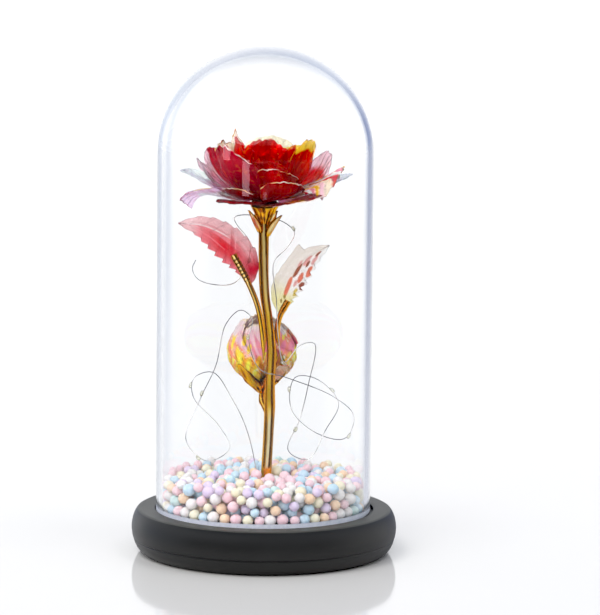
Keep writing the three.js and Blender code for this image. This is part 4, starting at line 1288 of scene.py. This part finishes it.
class ROSE_OT_stems(bpy.types.Operator):
    """Adds the gold stem and its branches"""
    bl_idname = "rose.stems"
    bl_label = "Stem"

    def execute(self, context):
        settings = context.scene.rose_stem
        gold = gold_plating("gold")
        mean, thin = settings.radius / MM, settings.stalk_radius / MM

        def stem_section(turn, part):
            flutes = 0.08 * np.cos(4 * turn + 5 * part) + 0.03 * np.cos(7 * turn - 4 * part + 1)
            return mean * (1 + flutes + 0.12 * bell((part - 0.4, 0.05)))

        def stalk_section(turn, part):
            ribs = 0.17 * np.sin(part * 170) * (part > 0.72) * np.sin(turn)
            body = 1 + 0.06 * np.cos(4 * turn) + ribs + 0.2 * smoothstep(part, 0.7, 0.8)
            return thin * body * (0.3 + 0.7 * smoothstep(part, 0, 0.2))

        for name, route, section, count, seed, ribbed in (
            ("stem", STEM_ROUTE, stem_section, 180, 1, (1, 0)),
            ("leaf_stalk_left", LEFT_STALK_ROUTE, stalk_section, 220, 12, (118.5, 128)),
            ("leaf_stalk_right", RIGHT_STALK_ROUTE, stalk_section, 90, 13, (1, 0)),
            ("bud_stalk", BUD_STALK_ROUTE, stalk_section, 70, 6, (1, 0)),
        ):
            made = rod(f"{name}_plated", route, section, count, seed, ribbed)
            dress(made, gold, "gold_plate", name)
        for cup in CUPS:
            self.add_cup(cup, gold)
        self.add_sepals(gold)
        return {"FINISHED"}

    def add_sepals(self, gold):
        """Thin pointed sepals that lean out from the stem round the bloom's cup."""
        u, t = np.meshgrid(np.linspace(-1, 1, 15), np.linspace(0, 1, 31))
        width = SEPAL_WIDTH * np.maximum(np.sin(math.pi * (0.08 + 0.92 * t) ** 0.8), 0.03) ** 0.8
        # Painted highlight down each sepal's middle, and painted shade at its edges.
        tone = painted(
            CUP_BRIGHT,
            (PLATE_HIGHLIGHT, fading(np.abs(u), 0.4, 0.85) * smoothstep(t, 0.05, 0.35)),
            (PLATE_DARK, smoothstep(np.abs(u), 0.9, 0.97)))
        for k, (azimuth, reach, foot_z, tip_z) in enumerate(CALYX_SEPALS):
            radius = 1.9 + (reach - 1.9) * t**1.4 + 0.35 * u**2 - 0.25 * ripples(90 + k, u, 2 * t, 4, 3.0) * t
            height = foot_z + (tip_z - foot_z) * t - 0.9 * t**6
            angle, across = math.radians(azimuth), u * width
            x = HEAD_X + radius * math.cos(angle) - across * math.sin(angle)
            y = radius * math.sin(angle) + across * math.cos(angle)
            points = np.stack([x, y, height], axis=-1)
            sepal = sheet_object(f"calyx_sepal_{k + 1}", points, SEPAL_THICKNESS, tone)
            dress(sepal, gold, "gold_plate")

    def add_cup(self, cup, gold):
        """A cup of pointed lobes with fine ridges down them, painted bright on the ridges and dark in the
        grooves and inside, as painted light and shade.
        """
        sides, rows = 120, 26
        (foot, foot_z), (rim, rim_z), inside = cup["foot"], cup["rim"], cup["inside"]
        slope = math.tan(math.radians(cup["nod"]))
        turn = full_turn(sides)
        lobe = (0.5 + 0.5 * np.cos(CUP_LOBES * turn - 0.8)) ** 0.9
        if cup["leaning"]:
            lobe = lobe * (0.64 - 0.36 * np.cos(turn))
        rings, tones = [], []
        for t in np.linspace(0, 1, rows):
            radius = foot + (rim - foot) * t + cup["reach"] * lobe * t**1.3
            radius = radius + 0.16 * np.cos(3 * CUP_LOBES * turn) * t
            z = foot_z + (rim_z - foot_z) * t + cup["rise"] * lobe * t * t + radius * np.sin(turn) * slope * t
            rings.append(np.stack([radius * np.cos(turn), radius * np.sin(turn), z], axis=-1))
            cloud = ripples(61, 2 * np.cos(turn), 2 * t + 2 * np.sin(turn), 5, 4.0)
            # Painted light and shade: the shade follows the ridges, so the ridges are painted bright and the
            # grooves dark.
            shade = 0.5 + 0.5 * np.cos(3 * CUP_LOBES * turn + 1.5 * t) + 0.5 * cloud
            tones.append(painted(CUP_DEEP, (CUP_BRIGHT, smoothstep(shade, *cup["bright"])),
                                 (PLATE_DARK, fading(shade, -0.3, 0.0))))
        brim = rings[-1]
        # Painted shade: the rings that close the cup's inside are painted dark, and so is its middle point.
        for inward, lift in ((0.0, 0.3), (0.04, 0.8), (0.1, 1.1), (0.2, 1.6), (0.35, 2.3), (0.6, 2.3)):
            ring = brim * [1 - inward, 1 - inward, 1] + [0, 0, lift]
            ring[:, 2] = ring[:, 2] * (1 - inward) + inside * inward
            rings.append(ring)
            tones.append(np.broadcast_to(PLATE_DARK, (sides, 3)))
        tones.append([PLATE_GOLD, PLATE_DARK])
        middle = [*cup["middle"], 0]
        ends = np.array([[0, 0, foot_z], [0, 0, inside]]) + middle
        made = ringed(f"{cup['name']}_plated", np.array(rings) + middle, ends, np.vstack(tones))
        dress(made, gold, "gold_plate", cup["name"])


class ROSE_OT_bloom(bpy.types.Operator):
    """Adds the bloom's film petals"""
    bl_idname = "rose.bloom"
    bl_label = "Bloom"

    def execute(self, context):
        add_flower(HEAD_WHORLS, (HEAD_X, 0, HEAD_FOOT), BLOOM_NOD, 100)
        return {"FINISHED"}


class ROSE_OT_bud(bpy.types.Operator):
    """Adds the bud's film petals"""
    bl_idname = "rose.bud"
    bl_label = "Bud"

    def execute(self, context):
        add_flower(BUD_WHORLS, (BUD_X, BUD_Y, BUD_FOOT), 0, 900)
        return {"FINISHED"}


class ROSE_OT_leaves(bpy.types.Operator):
    """Adds the two film leaves"""
    bl_idname = "rose.leaves"
    bl_label = "Leaves"

    def execute(self, context):
        settings = context.scene.rose_film
        thickness = settings.thickness / MM
        for name, leaf, finish, slot in (
            ("leaf_left", LEFT_LEAF, film("leaf_red", 0.8, 0.1, 0.12), "leaf_red_film"),
            ("leaf_right", RIGHT_LEAF, film("leaf_pearl", 0.8, 0.1, 0.06), "pearl_film"),
        ):
            grid, u, t = self.leaf_grid(leaf)
            tint = self.leaf_tint(name, u, t, grid)
            dress(sheet_object(f"{name}_film", grid, thickness, tint), finish, slot, name)
        return {"FINISHED"}

    def leaf_grid(self, leaf):
        """A leaf's middle surface: toothed at both edges, with side veins and a fold down the middle."""
        columns, rows = 61, 161
        line, way = smooth_route(leaf["vein"], rows)
        facing = np.array(leaf["facing"]) / np.linalg.norm(leaf["facing"])
        across = np.cross(way, facing)
        across /= np.linalg.norm(across, axis=1, keepdims=True)
        u, t = np.meshgrid(np.linspace(-1, 1, columns), np.linspace(0, 1, rows))
        side = np.where(u < 0, leaf["halves"][0], leaf["halves"][1])
        swelling = np.sin(math.pi * np.minimum(t**0.8, 1)) ** 0.8
        saw = (t * LEAF_TEETH + 0.55 * np.abs(u)) % 1.0
        depth = np.where(u < 0, *leaf["teeth"])
        tooth = 1 + depth * (saw - 0.6) * np.abs(u) ** 3
        at, wide, reach = leaf["barb"]
        barb = reach * np.clip(1 - (at - t) / wide, 0, 1) ** 2 * (t < at) * (u < 0) * np.abs(u)
        half = np.maximum(side * swelling * tooth + barb, 0.35)
        vein = 0.3 * np.abs(((t * LEAF_TEETH + 0.9 * np.abs(u)) % 1.0) * 2 - 1) * np.abs(u) ** 0.6
        lift = vein * smoothstep(t, 0, 0.1) - 0.8 * u * u - 0.5 * bell((u, 0.07))
        grid = line[:, None] + across[:, None] * (u * half)[..., None] + facing * lift[..., None]
        return grid, u, t

    def leaf_tint(self, name, u, t, grid):
        """The left leaf's reds with darker bands, a painted crease highlight and painted shade beside its
        veins, or the right leaf's pearl with its blotches.
        """
        if name == "leaf_left":
            streak = ripples(31, u * 5, t * 1.2, 6, 3.0)
            bands = smoothstep(ripples(33, grid[..., 0] / 0.9, grid[..., 2] / 40, 6, 3.0), -0.1, 0.4)
            near = bell((grid[..., 0] + 17, 6), (u + 0.1, 0.8))
            core = bell((t - 0.48, 0.2), (u + 0.3, 0.55)) * smoothstep(streak, -0.9, -0.3)
            foot = bell((t - 0.12, 0.13)) * smoothstep(u, -0.5, 0.2)
            # Painted highlight: a thin bright line along a crease.
            light = bell((u - 0.55 + 0.5 * t, 0.04)) * smoothstep(t, 0.45, 0.55)
            tone = painted(
                (0.97, 0.26, 0.3), ((0.98, 0.58, 0.6), smoothstep(u + 0.3 * streak, -0.25, 0.6)),
                ((0.82, 0.008, 0.02), core), ((0.7, 0.01, 0.04), 0.8 * bands * near),
                ((0.62, 0.0, 0.03), foot), ((0.99, 0.66, 0.66), 0.8 * smoothstep(t, 0.72, 0.9)),
                ((1.0, 0.9, 0.88), light))
            # Painted shade: one side of each side vein's ridge is darker.
            phase = (t * LEAF_TEETH + 0.9 * np.abs(u)) % 1.0
            tone = tone * (1 - 0.25 * fading(phase, 0.0, 0.14))[..., None]
        else:
            white = smoothstep(u, 0.0, 0.3) * smoothstep(t, 0.2, 0.35) * 0.8
            tone = painted(
                (0.95, 0.88, 0.8), ((0.97, 0.9, 0.42), 0.9 * fading(t, 0.12, 0.4)),
                ((1.0, 0.99, 0.97), white))
            tone = blotched(tone, u, t, LEAF_BLOTCHES)
            tone = mixed(tone, (0.8, 0.5, 0.25), bell((u, 0.02)) * 0.35)
        return np.clip(tone, 0, 1)


class ROSE_PT_panel(bpy.types.Panel):
    """Lists the steps that build the rose"""
    bl_label = "Rose in a dome"
    bl_idname = "ROSE_PT_panel"
    bl_space_type = "VIEW_3D"
    bl_region_type = "UI"
    bl_category = "Rose dome"

    def draw(self, context):
        for operator in STEPS:
            self.layout.operator(operator.bl_idname)
        for name, kind in SETTINGS.items():
            box = self.layout.box()
            for key in kind.__annotations__:
                box.prop(getattr(context.scene, name), key)


STEPS = (
    ROSE_OT_stage, ROSE_OT_wire, ROSE_OT_base, ROSE_OT_dome, ROSE_OT_beads,
    ROSE_OT_stems, ROSE_OT_bloom, ROSE_OT_bud, ROSE_OT_leaves,
)


def register():
    for kind in (*SETTINGS.values(), *STEPS, ROSE_PT_panel):
        bpy.utils.register_class(kind)
    for name, kind in SETTINGS.items():
        setattr(bpy.types.Scene, name, PointerProperty(type=kind))


def unregister():
    for name in SETTINGS:
        delattr(bpy.types.Scene, name)
    for kind in reversed((*SETTINGS.values(), *STEPS, ROSE_PT_panel)):
        bpy.utils.unregister_class(kind)


def main():
    """Registers the add-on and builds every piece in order."""
    register()
    for operator in STEPS:
        getattr(bpy.ops.rose, operator.bl_idname.split(".")[1])()


if __name__ == "__main__":
    main()
